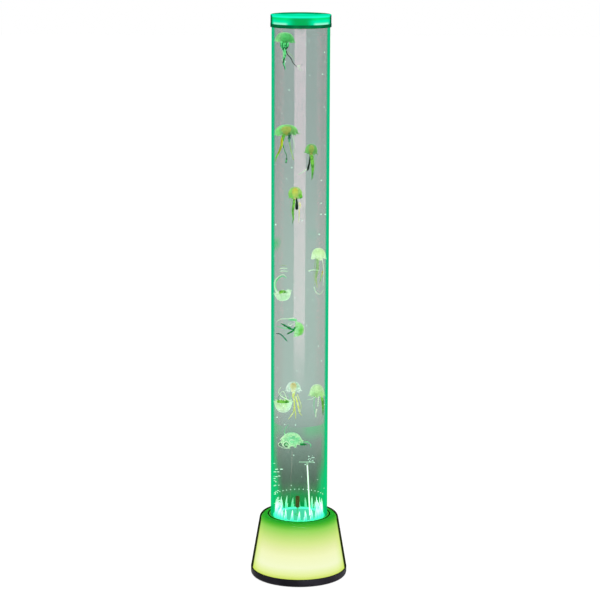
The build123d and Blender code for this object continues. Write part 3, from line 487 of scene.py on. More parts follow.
@dataclass(frozen=True)
class Winding(Recipe):
    """Enamelled wire wound round the y axis in close turns."""

    colour: Colour
    wire: float = 0.0004
    wire_depth: float = 0.0001
    painted_groove_shade: float = 0.4
    groove_roughness: float = 0.36
    crest_gloss: float = 0.12

    def surface(self, shader: Shader) -> Socket:
        """Bright crests and grooves darkened by painted shade, a turn of wire apart.

        Args:
            shader: The shader that gets its nodes.

        Returns:
            The whole surface.
        """
        _, y, _ = shader.axes()
        turns = (y * (FULL_TURN / self.wire)).sine() * 0.5 + 0.5
        return shader.solid({
            # Painted shade darkens the grooves between the turns.
            "Base Color": shader.blend(turns, dimmed(self.colour, self.painted_groove_shade),
                                       self.colour),
            "Metallic": 0.8,
            "Roughness": self.groove_roughness - turns * self.crest_gloss,
            "Normal": shader.bump(turns, self.wire_depth),
        })


@dataclass(frozen=True)
class SolderMask(Recipe):
    """A white board with faint copper tracks under its mask."""

    mask: Colour
    track: Colour
    track_scale: float = 70.0
    track_stretch: Point = (1.0, 5.0, 1.0)
    track_span: Span = (0.52, 0.54)
    track_depth: float = 0.00004
    roughness: float = 0.42
    track_gloss: float = 0.1

    def surface(self, shader: Shader) -> Socket:
        """The mask, raised and smoother over the tracks.

        Args:
            shader: The shader that gets its nodes.

        Returns:
            The whole surface.
        """
        tracks = shader.noise(self.track_scale, 0.0, self.track_stretch).step(*self.track_span)
        return shader.solid({
            "Base Color": shader.blend(tracks, self.mask, self.track),
            "Roughness": self.roughness - tracks * self.track_gloss,
            "Normal": shader.bump(tracks, self.track_depth),
        })


@dataclass(frozen=True)
class SinteredStone(Recipe):
    """Glued mineral grains, rough and full of pores, faintly lit by the water round them."""

    pale: Colour
    dark: Colour
    grain_scale: float = 900.0
    grain_span: Span = (0.1, 0.7)
    grain_depth: float = 0.0004
    glow_share: float = 0.35

    def surface(self, shader: Shader) -> Socket:
        """Pale grains with painted shade in the pores between them.

        Args:
            shader: The shader that gets its nodes.

        Returns:
            The whole surface.
        """
        cells = shader.node("ShaderNodeTexVoronoi", inputs={"Vector": shader.place(),
                                                            "Scale": self.grain_scale})
        grains = Value(shader, cells.outputs["Distance"])
        return shader.solid({
            # Painted shade: darker between the grains, in the pores.
            "Base Color": shader.blend(grains.step(*self.grain_span), self.pale, self.dark),
            "Roughness": 0.9,
            "Emission Color": dimmed(self.pale, self.glow_share),
            "Emission Strength": 1.0,
            "Normal": shader.bump(grains, self.grain_depth),
        })


@dataclass(frozen=True)
class ColumnWall(Recipe):
    """Clear acrylic tube: a grey tint in its skin, and green light caught along its edges.

    The bore's far side is darkened downwards by painted shade, glows green about the foot and
    mirrors the studio faintly. Its near side stays clear but for an arc of painted green glow,
    so that what floats in the water shows. A span runs from where an effect starts to where it
    is whole: a rise is a height above the column's floor, a side a share of the bore's radius, a
    facing goes by the angle of view, and a share says how strong the effect is. A step has a
    span and its two results.
    """

    bore: Bore
    middle_tint: Colour = (0.606, 0.727, 0.679)
    side_tint: Colour = (0.604, 0.694, 0.65)
    side_facing: Span = (0.1, 0.34)
    edge_tint: Colour = (0.05, 0.74, 0.42)
    edge_glow: Colour = (0.008, 0.55, 0.28)
    low_edge_glow: Colour = (0.004, 0.66, 0.25)
    low_edge_rise: Span = (0.4, 0.02)
    edge_facing: Span = (0.48, 0.66)
    edge_share: float = 0.5
    wall_share: Span = (0.4, 0.6)
    rim_depth: Span = (0.0012, 0.0004)
    rim_gain: float = 1.2
    upper_tint: Colour = (0.83, 0.84, 0.865)
    upper_rise: Span = (0.45, 0.9)
    # Painted shade, low on the bore's far side.
    painted_shade_tint: Colour = (0.23, 0.29, 0.235)
    painted_shade_rise: Span = (0.26, 0.04)
    swirl_glow: Colour = (0.12, 0.85, 0.3)
    swirl_rise: float = 0.206
    swirl_below: Span = (0.036, 0.004)
    swirl_above: float = 0.0015
    swirl_left: Step = (-0.5, -0.95, 0.25, 1.0)
    swirl_right: Span = (0.0, 0.5)
    swirl_share: float = 0.42
    cloud_scale: float = 38.0
    cloud_stretch: Point = (1.0, 1.0, 0.4)
    cloud_lift: float = 0.06
    foot_glow: Colour = (0.002, 0.46, 0.09)
    foot_rise: Span = (0.066, 0.014)
    foot_share: float = 0.9
    side_glow: Colour = (0.002, 0.85, 0.26)
    low_side: tuple[Span, Span] = ((0.22, 0.52), (0.14, 0.02))
    high_side: tuple[Span, Span] = ((0.4, 0.62), (0.3, 0.08))
    high_side_share: float = 0.5
    side_share: float = 0.85
    spill_side: Span = (-0.66, -0.92)
    spill_rise: float = 0.583
    spill_below: float = 0.022
    spill_above: float = 0.018
    spill_share: float = 0.7
    mirror_tint: Colour = (1.0, 0.43, 0.59)
    mirror_roughness: float = 0.055
    mirror_rise: Step = (0.0, 0.22, 0.03, 0.134)
    mirror_upper_share: float = 0.068

    def surface(self, shader: Shader) -> Socket:
        """The outer face, the bore and the lit rim.

        Args:
            shader: The shader that gets its nodes.

        Returns:
            The whole surface.
        """
        x, _, z = shader.axes()
        rise = z - self.bore.floor
        outer = shader.distance_from_axis().step(
            *(self.bore.radius + share * TUBE_WALL for share in self.wall_share))
        rim = z.step(*(self.bore.rim - depth for depth in self.rim_depth))
        wall = shader.mix(outer, self._bore(shader, x / self.bore.radius, rise),
                          self._outside(shader, rise))
        return shader.mix(rim, wall, shader.glow(self.edge_glow, self.rim_gain))

    def _outside(self, shader: Shader, rise: Value) -> Socket:
        """The outer face, clear in the middle and green where it is seen along the wall.

        Args:
            shader: The shader that gets its nodes.
            rise: The height above the column's floor.

        Returns:
            The face's surface.
        """
        facing = shader.facing()
        face = shader.mix(facing.step(*self.side_facing), shader.film(self.middle_tint),
                          shader.film(self.side_tint))
        caught = shader.blend(rise.step(*self.low_edge_rise), self.edge_glow,
                              self.low_edge_glow)
        edge = shader.mix(self.edge_share, shader.film(self.edge_tint), shader.glow(caught))
        return shader.mix(facing.step(*self.edge_facing), face, edge)

    def _bore(self, shader: Shader, across: Value, rise: Value) -> Socket:
        """The bore: clear and tinted films and painted shade, then each glow, then the mirror.

        Args:
            shader: The shader that gets its nodes.
            across: The place from left to right, -1 to 1.
            rise: The height above the column's floor.

        Returns:
            The bore's surface.
        """
        far = 1 - shader.seen_from_behind()
        clouds = shader.noise(self.cloud_scale, 3.0, self.cloud_stretch)
        drift = rise + (clouds - 0.5) * self.cloud_lift
        bore = shader.mix(rise.step(*self.upper_rise) * far, shader.film(WHITE),
                          shader.film(self.upper_tint))
        # Painted shade: the far side grows darker towards the column's floor.
        bore = shader.mix(rise.step(*self.painted_shade_rise) * far, bore, shader.film(self.painted_shade_tint))
        # Painted light: a green arc of glow on the bore's near side.
        bore = shader.mix(self._swirl(across, rise) * (1 - far) * self.swirl_share, bore,
                          shader.glow(self.swirl_glow))
        bore = shader.mix(drift.step(*self.foot_rise) * far * self.foot_share, bore,
                          shader.glow(self.foot_glow))
        facing = shader.facing()
        (low_facing, low_rise), (high_facing, high_rise) = self.low_side, self.high_side
        sides = (facing.step(*low_facing) * drift.step(*low_rise)
                 + facing.step(*high_facing) * drift.step(*high_rise) * self.high_side_share
                 ).at_most(1.0) * far
        bore = shader.mix(sides * self.side_share, bore, shader.glow(self.side_glow))
        spill = across.step(*self.spill_side) * far \
            * rise.step(self.spill_rise - self.spill_below, self.spill_rise) \
            * rise.step(self.spill_rise + self.spill_above, self.spill_rise)
        bore = shader.mix(spill * self.spill_share, bore, shader.glow(self.side_glow))
        mirror = rise.step(*self.mirror_rise) \
            + rise.step(*self.upper_rise, 0.0, self.mirror_upper_share)
        return shader.mix(far * mirror, bore,
                          shader.gloss(self.mirror_roughness, self.mirror_tint))

    def _swirl(self, across: Value, rise: Value) -> Value:
        """How strong the arc of painted green glow on the bore's near side is.

        Args:
            across: The place from left to right, -1 to 1.
            rise: The height above the column's floor.

        Returns:
            0 to 1, strongest at its sharp upper line and towards the tube's sides.
        """
        start, end = (self.swirl_rise - below for below in self.swirl_below)
        return rise.step(start, end) \
            * rise.step(self.swirl_rise + self.swirl_above, self.swirl_rise) \
            * (across.step(*self.swirl_left) + across.step(*self.swirl_right)).at_most(1.0)


@dataclass(frozen=True)
class CapAcrylic(Recipe):
    """Clear green-lit acrylic lid, bright where its edges gather light.

    Round its skirt, bright and deep stretches follow each other, as in any thick clear ring
    that is lit from below. A depth is measured down from the top, a height up from the band,
    a wave along the stretches and a reach from the lamp's axis.
    """

    band_top: float
    top: float
    radius: float
    deep: Colour = paint(0, 164, 80)
    bright: Colour = paint(0, 230, 168)
    leaf: Colour = paint(0, 214, 114)
    lit_edge: Colour = paint(24, 252, 208)
    # Painted shade of the lid's sides where they are seen along.
    edge: Colour = paint(2, 62, 38)
    band: Colour = paint(0, 108, 56)
    glint: Colour = (0.55, 1.0, 0.86)
    base: Colour = (0.0, 0.02, 0.012)
    base_share: float = 0.85
    stretches: int = 4
    streak_scale: float = 48.0
    streak_stretch: Point = (1.0, 1.0, 1.6)
    wave_stir: float = 0.5
    level_stir: float = 0.6
    leaf_level: Span = (0.3, 0.75)
    deep_wave: Span = (-0.5, 0.85)
    glint_height: Span = (0.0056, 0.001)
    glint_wave: Span = (0.0, -0.6)
    glint_share: float = 0.55
    lit_edge_depth: Span = (0.0055, 0.003)
    lit_edge_share: float = 0.8
    lid_depth: Span = (0.0015, 0.0004)
    rear_rim_inset: Span = (0.06, 0.04)
    rear_rim_side: Span = (-0.1, 0.3)
    rear_rim_share: float = 0.9
    ring_reach: tuple[Span, Span] = ((0.024, 0.032), (0.046, 0.038))
    ring_share: float = 0.4
    band_blur: float = 0.0004
    band_streaks: Span = (0.35, 0.65)
    band_loss: float = 0.6
    edge_facing: Span = (0.62, 0.78)
    edge_depth: float = 0.002
    gain: float = 0.9
    roughness: float = 0.3
    gloss_share: float = 0.0015
    gloss_roughness: float = 0.15

    def surface(self, shader: Shader) -> Socket:
        """The lit lid with a very faint gloss.

        Args:
            shader: The shader that gets its nodes.

        Returns:
            The whole surface.
        """
        _, y, z = shader.axes()
        reach = shader.distance_from_axis()
        streaks = shader.noise(self.streak_scale, 2.0, self.streak_stretch)
        wave = (shader.turn() * self.stretches).cosine() + (streaks - 0.5) * self.wave_stir
        level = (z - self.band_top) / (self.top - self.band_top) \
            + (streaks - 0.5) * self.level_stir
        body = shader.blend(level.step(*self.leaf_level), self.bright, self.leaf)
        shine = z.step(*(self.band_top + height for height in self.glint_height)) \
            * wave.step(*self.glint_wave)
        body = shader.blend(shine * self.glint_share, body, self.glint)
        body = shader.blend(wave.step(*self.deep_wave), body, self.deep)
        lit_edge = z.step(*(self.top - depth for depth in self.lit_edge_depth))
        body = shader.blend(lit_edge * self.lit_edge_share, body, self.lit_edge)
        lid = z.step(*(self.top - depth for depth in self.lid_depth))
        body = shader.blend(lid, body, self.bright)
        # Painted shade: a dark line along the rear edge of the lid's top.
        rear_rim_shade = reach.step(*(self.radius - inset for inset in self.rear_rim_inset)) \
            * (y / self.radius).step(*self.rear_rim_side)
        body = shader.blend(lid * rear_rim_shade * self.rear_rim_share, body, self.band)
        inward, outward = self.ring_reach
        ring = reach.step(*inward) * reach.step(*outward)
        body = shader.blend(lid * ring * self.ring_share, body, self.deep)
        low = z.step(self.band_top + self.band_blur, self.band_top - self.band_blur)
        body = shader.blend(low, body, shader.blend(streaks.step(*self.band_streaks), self.band,
                                                    dimmed(self.band, self.band_loss)))
        # Painted shade: the lid goes dark where its side is seen along.
        edge = shader.facing().step(*self.edge_facing) \
            * z.step(self.top, self.top - self.edge_depth)
        body = shader.blend(edge, body, self.edge)
        acrylic = shader.solid({
            "Base Color": shader.blend(self.base_share, body, self.base),
            "Roughness": self.roughness,
            "Specular IOR Level": 0.0,
            "Emission Color": body,
            "Emission Strength": self.gain,
        })
        return shader.mix(self.gloss_share, acrylic, shader.gloss(self.gloss_roughness))


@dataclass(frozen=True)
class ClearCover(Recipe):
    """Clear cone over the diffuser, with painted shade where it is seen along its wall.

    Beside the diffuser the eye passes through the wall's rear half too. Its outer skin is
    painted dark from within, as painted shade, so that a thin dark line runs round the lit
    cone. The skin is found from the cone's foot and top, and from the round shoulder between
    its side and its top.
    """

    foot: float
    foot_radius: float
    top: float
    top_radius: float
    hole_radius: float
    face_tint: Colour = (0.96, 0.97, 0.93)
    edge_tint: Colour = (0.07, 0.11, 0.02)
    edge_base: Colour = (0.012, 0.018, 0.002)
    edge_share: float = 0.7
    edge_facing: Span = (0.74, 0.83)
    wall: float = 0.0025
    skin_depth: Span = (0.6, 0.4)
    rounding: float = 0.012
    seam_blur: float = 0.001
    hole_margin: Span = (0.002, 0.005)
    gloss_share: float = 0.005
    gloss_roughness: float = 0.12

    def _depth(self, shader: Shader) -> Value:
        """How far the point lies from the outer skin, below 0 inside it.

        Args:
            shader: The shader that gets its nodes.

        Returns:
            The distance in metres.
        """
        _, _, z = shader.axes()
        reach = shader.distance_from_axis()
        slope = (self.foot_radius - self.top_radius) / (self.top - self.foot)
        turn_z = self.top - self.rounding
        turn_radius = self.foot_radius - (turn_z - self.foot) * slope \
            - self.rounding * math.hypot(1.0, slope)
        cone = reach + z * slope - (self.foot_radius + self.foot * slope)
        outward, upward = reach - turn_radius, z - turn_z
        shoulder = (outward * outward + upward * upward) ** 0.5 - self.rounding
        share = z.step(turn_z - self.seam_blur, turn_z + self.seam_blur)
        return cone * (1 - share) + shoulder * share

    def surface(self, shader: Shader) -> Socket:
        """The clear wall, its dark edge and a faint gloss.

        Args:
            shader: The shader that gets its nodes.

        Returns:
            The whole surface.
        """
        # Painted shade: a dark film and a near-black surface for the cone's dark edges.
        dark = shader.mix(self.edge_share, shader.film(self.edge_tint), shader.solid({
            "Base Color": self.edge_base, "Roughness": 0.3, "Specular IOR Level": 0.0}))
        clear = shader.mix(shader.facing().step(*self.edge_facing),
                           shader.film(self.face_tint), dark)
        skin = self._depth(shader).step(*(-share * self.wall for share in self.skin_depth))
        beyond_hole = shader.distance_from_axis().step(
            *(self.hole_radius + margin for margin in self.hole_margin))
        clear = shader.mix(shader.seen_from_behind() * skin * beyond_hole, clear, dark)
        return shader.mix(self.gloss_share, clear, shader.gloss(self.gloss_roughness))


@dataclass(frozen=True)
class LitDiffuser(Recipe):
    """Frosted acrylic lit from inside, coloured by height from bottom to top.

    The side colour joins it where the surface is seen at a slant, more towards the bottom.
    """

    stops: Stops
    bottom: float
    top: float
    side: Colour = (0.0, 0.4, 0.2)
    side_facing: Span = (0.42, 0.9)
    side_level: Span = (0.95, 0.35)
    side_share: float = 0.7
    base: Colour = (0.02, 0.02, 0.01)
    base_share: float = 0.9
    frost_scale: float = 1400.0
    frost_depth: float = 0.00003
    cloud_scale: float = 18.0
    cloud_lift: float = 0.02
    gain: float = 1.03

    def surface(self, shader: Shader) -> Socket:
        """The light by height, on a frosted face.

        Args:
            shader: The shader that gets its nodes.

        Returns:
            The whole surface.
        """
        _, _, z = shader.axes()
        frost = shader.noise(self.frost_scale, 2.0)
        cloud = shader.noise(self.cloud_scale, 2.0)
        level = (z - self.bottom) / (self.top - self.bottom) + (cloud - 0.5) * self.cloud_lift
        side = shader.facing().step(*self.side_facing) * level.step(*self.side_level)
        light = shader.blend(side * self.side_share, shader.ramp(level, self.stops), self.side)
        return shader.solid({
            "Base Color": shader.blend(self.base_share, light, self.base),
            "Roughness": 0.6,
            "Specular IOR Level": 0.1,
            "Emission Color": light,
            "Emission Strength": self.gain,
            "Normal": shader.bump(frost, self.frost_depth),
        })


@dataclass(frozen=True)
class LitAcrylic(Recipe):
    """Clear acrylic that carries light to its tips.

    The mesh's along value says how far towards the tip a point is, and its around value how
    much of the dim colour it takes.
    """

    low: Colour
    high: Colour
    clearness: float
    dim: Colour = (0.004, 0.42, 0.13)
    tip_span: Span = (0.1, 0.95)
    film_tint: Colour = (0.8, 1.0, 0.9)
    base_gain: float = 0.3

    def surface(self, shader: Shader) -> Socket:
        """The light by the mesh's own values, partly clear.

        Args:
            shader: The shader that gets its nodes.

        Returns:
            The whole surface.
        """
        light = shader.blend(shader.attribute("along").step(*self.tip_span), self.low,
                             self.high)
        light = shader.blend(shader.attribute("around"), light, self.dim)
        body = shader.solid({
            "Base Color": dimmed(self.high, self.base_gain),
            "Roughness": 0.1,
            "Emission Color": light,
            "Emission Strength": 1.0,
        })
        return shader.mix(self.clearness, body, shader.film(self.film_tint))


@dataclass(frozen=True)
class JellySkin(Recipe):
    """Soft translucent silicone, coloured along each part from its root to its margin.

    It is clearer where it is looked at squarely than along its rounded sides, as any thin
    clear skin is. The lit colour lies on the side where the around value is a half, and the
    rings, where it has some, run round it. Its colours glow by themselves, as painted light of
    the lamp in the water.
    """

    stops: Stops
    spot: Colour
    spot_share: float = 0.3
    lit: Colour = UNLIT
    lit_share: float = 0.0
    clear_root: float = 0.1
    clear_end: float = 0.1
    rings: int = 0
    mottle_scale: float = 260.0
    mottle_swirl: float = 0.6
    mottle_stir: float = 0.16
    mottle_depth: float = 0.0003
    mottle_roughness: float = 0.12
    limb_facing: Span = (0.4, 0.95)
    limb_light: float = 0.7
    limb_body: float = 0.75
    lit_side: Span = (0.1, 1.0)
    spot_scale: float = 125.0
    spot_swirl: float = 1.2
    spot_span: Span = (0.48, 0.54)
    ring_span: Span = (0.4, 0.9)
    ring_share: float = 0.6
    base: Colour = (0.0, 0.004, 0.0)
    base_share: float = 0.86
    smoothest: float = 0.3
    film_tint: Colour = (0.965, 0.995, 0.965)
    gain: float = 0.88

    def surface(self, shader: Shader) -> Socket:
        """The coloured skin over a clear film.

        Args:
            shader: The shader that gets its nodes.

        Returns:
            The whole surface.
        """
        along = shader.attribute("along")
        mottle = shader.noise(self.mottle_scale, 2.0, distortion=self.mottle_swirl)
        tone = shader.ramp(along + (mottle - 0.5) * self.mottle_stir, self.stops)
        limb = shader.facing().step(*self.limb_facing)
        if self.lit_share:
            side = ((shader.attribute("around") - 0.5) * FULL_TURN).cosine()
            sheen = (side.step(*self.lit_side) + limb * self.limb_light).at_most(1.0)
            tone = shader.blend(sheen * self.lit_share, tone, self.lit)
        spots = shader.noise(self.spot_scale, 0.0, distortion=self.spot_swirl)
        tone = shader.blend(spots.step(*self.spot_span) * self.spot_share, tone, self.spot)
        if self.rings:
            bands = (along * (FULL_TURN * self.rings)).sine().step(*self.ring_span)
            tone = shader.blend(bands * self.ring_share, tone, self.spot)
        body = shader.solid({
            "Base Color": shader.blend(self.base_share, tone, self.base),
            "Roughness": self.smoothest + mottle * self.mottle_roughness,
            "Specular IOR Level": 0.1,
            "Coat Weight": 0.05,
            # Painted light: the silicone glows in its own colours, though it is no lamp.
            "Emission Color": tone,
            "Emission Strength": self.gain,
            "Normal": shader.bump(mottle, self.mottle_depth),
        })
        clear = along.step(0.0, 1.0, self.clear_root, self.clear_end) \
            * (1 - limb * self.limb_body)
        return shader.mix(clear, body, shader.film(self.film_tint))


class Finish(Enum):
    """The lamp's plainer finishes."""

    # Its marks are lightened into painted sheen: soft highlights on the black tray.
    BLACK_PLASTIC = Moulding((0.006, 0.0055, 0.0075), 0.45, grain_depth=0.00002,
                             specular=0.04, marks=14.0, marks_and_sheen_gain=3.5)
    FOOT_RUBBER = Moulding((0.02, 0.02, 0.02), 0.75)
    WHITE_PLASTIC = Moulding((0.75, 0.78, 0.75), 0.3, coat=0.3)
    LIT_TUBING = Moulding((0.7, 0.8, 0.72), 0.25, coat=0.3, glow=(1.5, 1.8, 1.4))
    LIT_NOZZLE = Moulding((0.3, 0.36, 0.3), 0.25, coat=0.3, glow=(0.34, 0.5, 0.36))
    GREY_PLASTIC = Moulding((0.09, 0.095, 0.1), 0.45)
    SEAL_RUBBER = Moulding((0.35, 0.5, 0.42), 0.4, coat=0.2)
    BLACK_RUBBER = Moulding((0.012, 0.012, 0.012), 0.6)
    CHIP_PLASTIC = Moulding((0.012, 0.012, 0.013), 0.38)
    LED_PACKAGE = Moulding((0.8, 0.75, 0.35), 0.2, coat=0.6, glow=(0.3, 0.6, 0.1))
    CIRCUIT_BOARD = SolderMask((0.72, 0.75, 0.72), (0.55, 0.62, 0.5))
    SCREW_STEEL = Metal((0.56, 0.57, 0.58), 0.28)
    BRASS = Metal((0.72, 0.52, 0.2), 0.25)
    LIT_BRASS = Moulding((0.2, 0.3, 0.1), 0.3, glow=(0.05, 0.55, 0.3))
    IRON_CORE = Metal((0.2, 0.21, 0.22), 0.5, marks=(1.0, 40.0, 1.0), pitch=60.0)
    MAGNET = Metal((0.5, 0.5, 0.52), 0.2)
    COPPER_WINDING = Winding((0.62, 0.2, 0.06))
    STONE = SinteredStone(paint(128, 100, 54), paint(66, 58, 30))

    def material(self) -> bpy.types.Material:
        """The finish's one material."""
        name = f"{self.name.lower()}_finish"
        return bpy.data.materials.get(name) or self.value.make(name)


def dress(node: str, material: bpy.types.Material) -> None:
    """Gives a carried-over CAD node its material.

    Args:
        node: The node's name.
        material: What it is made of.
    """
    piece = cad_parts[node]
    piece.data.materials.clear()
    piece.data.materials.append(material)
    log.info("dressed %s in %s", node, material.name)


def dress_in(finish: Finish, *nodes: str) -> None:
    """Gives some CAD nodes one finish."""
    for node in nodes:
        dress(node, finish.material())


# ------------------------------------------------------------------ mesh building
class Weaver:
    """Builds one mesh out of swept ribbons, strands and shells.

    A ribbon's edges wave more than its middle by the edge power, and one edge lags behind the
    other by twice the edge lag, in turns.
    """

    ribbon_thickness = 0.0009
    ribbon_faces = 6
    edge_power = 1.5
    edge_lag = 0.22

    def __init__(self, name: str) -> None:
        """Starts an empty mesh with its two values for each corner.

        Args:
            name: The finished piece's name.
        """
        self.name = name
        self.mesh = bmesh.new()
        self.along = self.mesh.verts.layers.float.new("along")
        self.around = self.mesh.verts.layers.float.new("around")

    def point(self, place: Vector, along: float = 0.0,
              around: float = 0.0) -> bmesh.types.BMVert:
        """Adds a vertex.

        Args:
            place: Where it is.
            along: 0 at the part's root, 1 at its end.
            around: The share of a turn about it, or what else the finish reads there.

        Returns:
            The vertex.
        """
        vertex = self.mesh.verts.new(place)
        vertex[self.along] = along
        vertex[self.around] = around
        return vertex

    def skin(self, rings: Sequence[Sequence[bmesh.types.BMVert]]) -> None:
        """Joins neighbouring rings by quads.

        Args:
            rings: Closed rings of equally many vertices.
        """
        for lower, upper in zip(rings, rings[1:]):
            for index in range(len(lower)):
                after = (index + 1) % len(lower)
                self.mesh.faces.new((lower[index], lower[after], upper[after], upper[index]))

    def close(self, rings: Sequence[Sequence[bmesh.types.BMVert]]) -> None:
        """Joins rings into a closed solid, with one face at each end.

        Args:
            rings: Closed rings of equally many vertices.
        """
        self.skin(rings)
        self.mesh.faces.new(rings[0][::-1])
        self.mesh.faces.new(rings[-1])

    def strand(self, path: Sequence[Vector], radii: Sequence[float], sides: int,
               flatten: float) -> None:
        """A tapering strand along a path.

        Args:
            path: The points that it follows.
            radii: Its radius at each point.
            sides: How many sides it has.
            flatten: Its depth as a share of its width.
        """
        rings = []
        for index, (centre, radius) in enumerate(zip(path, radii)):
            across, outward = directions(path, index)
            depth = outward * flatten
            turns = [FULL_TURN * side / sides for side in range(sides)]
            rings.append([
                self.point(centre + radius * (math.cos(turn) * across + math.sin(turn) * depth),
                           index / (len(path) - 1), side / sides)
                for side, turn in enumerate(turns)])
        self.close(rings)

    def frill(self, path: Sequence[Vector], widths: Sequence[float], waves: float,
              depth: float, phase: float) -> None:
        """A ruffled ribbon along a path, its free edges waving in and out.

        Args:
            path: The points of its middle line.
            widths: Its width at each point.
            waves: How many waves its edges make.
            depth: How far they wave, as a share of the width.
            phase: Where the first wave starts, in turns.
        """
        rings = []
        for index, (centre, width) in enumerate(zip(path, widths)):
            across, outward = directions(path, index)
            half = outward * (self.ribbon_thickness / 2)
            share = index / (len(path) - 1)
            front, back = [], []
            for step in range(self.ribbon_faces + 1):
                side = 2 * step / self.ribbon_faces - 1
                swing = math.sin(FULL_TURN * (waves * share + phase + self.edge_lag * side))
                wave = depth * width * abs(side) ** self.edge_power * swing
                place = centre + across * (side * width / 2) + outward * wave
                front.append(self.point(place - half, share, (side + 1) / 2))
                back.append(self.point(place + half, share, (side + 1) / 2))
            rings.append(front + back[::-1])
        self.close(rings)

    def finish(self, material: bpy.types.Material, smooth: bool = True) -> bpy.types.Object:
        """Makes the object.

        Args:
            material: What it is made of.
            smooth: Whether its faces are shaded smooth.

        Returns:
            The object, in the scene.
        """
        data = bpy.data.meshes.new(self.name)
        bmesh.ops.recalc_face_normals(self.mesh, faces=self.mesh.faces)
        self.mesh.to_mesh(data)
        self.mesh.free()
        for face in data.polygons:
            face.use_smooth = smooth
        data.materials.append(material)
        piece = bpy.data.objects.new(self.name, data)
        bpy.context.scene.collection.objects.link(piece)
        return piece


def directions(path: Sequence[Vector], index: int) -> tuple[Vector, Vector]:
    """The directions across a path at one of its points.

    Args:
        path: The path's points.
        index: The point's number.

    Returns:
        A unit vector to the side and one outwards, both at right angles to the path.
    """
    ahead = path[min(index + 1, len(path) - 1)] - path[max(index - 1, 0)]
    across = ahead.cross(Vector((0, 1, 0)))
    across = across.normalized() if across.length > 1e-9 else Vector((1, 0, 0))
    return across, ahead.cross(across).normalized()


def curve_points(knots: Sequence[Vector], count: int) -> list[Vector]:
    """Points along a smooth curve through some knots.

    Args:
        knots: The points that it passes.
        count: How many points to give.

    Returns:
        The points, equally far apart in the curve's own measure.
    """
    padded = [2 * knots[0] - knots[1], *knots, 2 * knots[-1] - knots[-2]]
    result = []
    for index in range(count):
        place = index / (count - 1) * (len(knots) - 1)
        span = min(int(place), len(knots) - 2)
        share = place - span
        a, b, c, d = padded[span:span + 4]
        result.append(0.5 * (2 * b + (c - a) * share + (2 * a - 5 * b + 4 * c - d) * share**2
                             + (3 * b - a - 3 * c + d) * share**3))
    return result


# ------------------------------------------------------------------ jellyfish
class Tone(Enum):
    """Silicone colours of the arms and threads: root, tip, spots and the spots' share."""

    GREEN = ((110, 222, 134), (76, 196, 120), (0, 60, 30), 1.0)
    FOREST = ((6, 132, 58), (2, 96, 46), (60, 180, 100), 0.25)
    MINT = ((150, 230, 160), (112, 204, 146), (50, 150, 90), 0.35)
    DARK = ((10, 30, 10), (2, 10, 6), (50, 90, 40), 0.25)
    TEAL = ((6, 66, 56), (84, 160, 120), (2, 36, 30), 0.4)
    SAGE = ((150, 182, 128), (172, 190, 130), (110, 150, 96), 0.4)
    RUST = ((170, 96, 30), (120, 130, 30), (220, 190, 60), 0.3)
    LIME = ((214, 214, 50), (84, 206, 66), (140, 90, 24), 0.5)
    LEAF = ((140, 204, 80), (86, 166, 60), (36, 104, 24), 0.55)
    OLIVE = ((216, 222, 110), (188, 196, 70), (244, 248, 206), 0.45)
    CREAM = ((236, 224, 160), (226, 220, 190), (190, 170, 90), 0.4)
    PALE = ((232, 244, 214), (206, 232, 196), (150, 200, 150), 0.35)

    def skin(self, gain: float) -> JellySkin:
        """The tone's silicone.

        Args:
            gain: What its light is multiplied by.

        Returns:
            The finish.
        """
        root, tip, spot, share = self.value
        return JellySkin(((0.0, paint(*root, gain)), (1.0, paint(*tip, gain))),
                         spot=paint(*spot, gain), spot_share=share)


class Build(Enum):
    """How an arm is made."""

    FRILL = "frill"
    ROPE = "rope"
    CLUB = "club"
    BEADS = "beads"
    THREAD = "thread"

    def swell(self, knots: int, index: int) -> Callable[[float], float]:
        """How thick the arm is along its length, from 0 to 1.

        Args:
            knots: How many knots its path has.
            index: Its number on the jellyfish.

        Returns:
            A function from the share of the length to the share of the full width.
        """
        return {
            Build.FRILL: lambda t: (0.5 + 0.5 * math.sin(math.pi * min(1, 0.25 + 0.8 * t)))
            * (1 - 0.6 * t**3),
            Build.ROPE: lambda t: (0.8 + 0.2 * math.sin(17 * t + index)) * (1 - 0.5 * t**2),
            Build.CLUB: lambda t: (0.4 + 0.6 * t) * (1 - 0.75 * max(0.0, t - 0.86) / 0.14),
            Build.BEADS: lambda t: 0.35 + 0.65 * math.sin(FULL_TURN * knots * t) ** 2,
            Build.THREAD: lambda t: 1 - 0.55 * t,
        }[self]


@dataclass(frozen=True)
class Arm:
    """One arm or thread, as offsets in millimetres from the middle of the bell's rim."""

    build: Build
    tone: Tone
    width: float
    points: tuple[Point, ...]


@dataclass(frozen=True)
class Bell:
    """A jellyfish's bell, its size in millimetres and its colours from crown to rim.

    The stomach hangs inside the bell, clearness is how much of it shows, frill is the height
    of the rim's waves, and tuck the share by which the rim curls in.
    """

    radius: float
    height: float
    crown: Colour
    middle: Colour
    rim: Colour
    stomach: tuple[Colour, Colour] | None
    lit: Colour = paint(190, 250, 190)
    lit_share: float = 0.5
    clearness: float = 0.75
    mottle: float = 0.5
    lobes: int = 8
    lobe_depth: float = 0.10
    frill: float = 2.4
    rings: int = 0
    tuck: float = 0.0


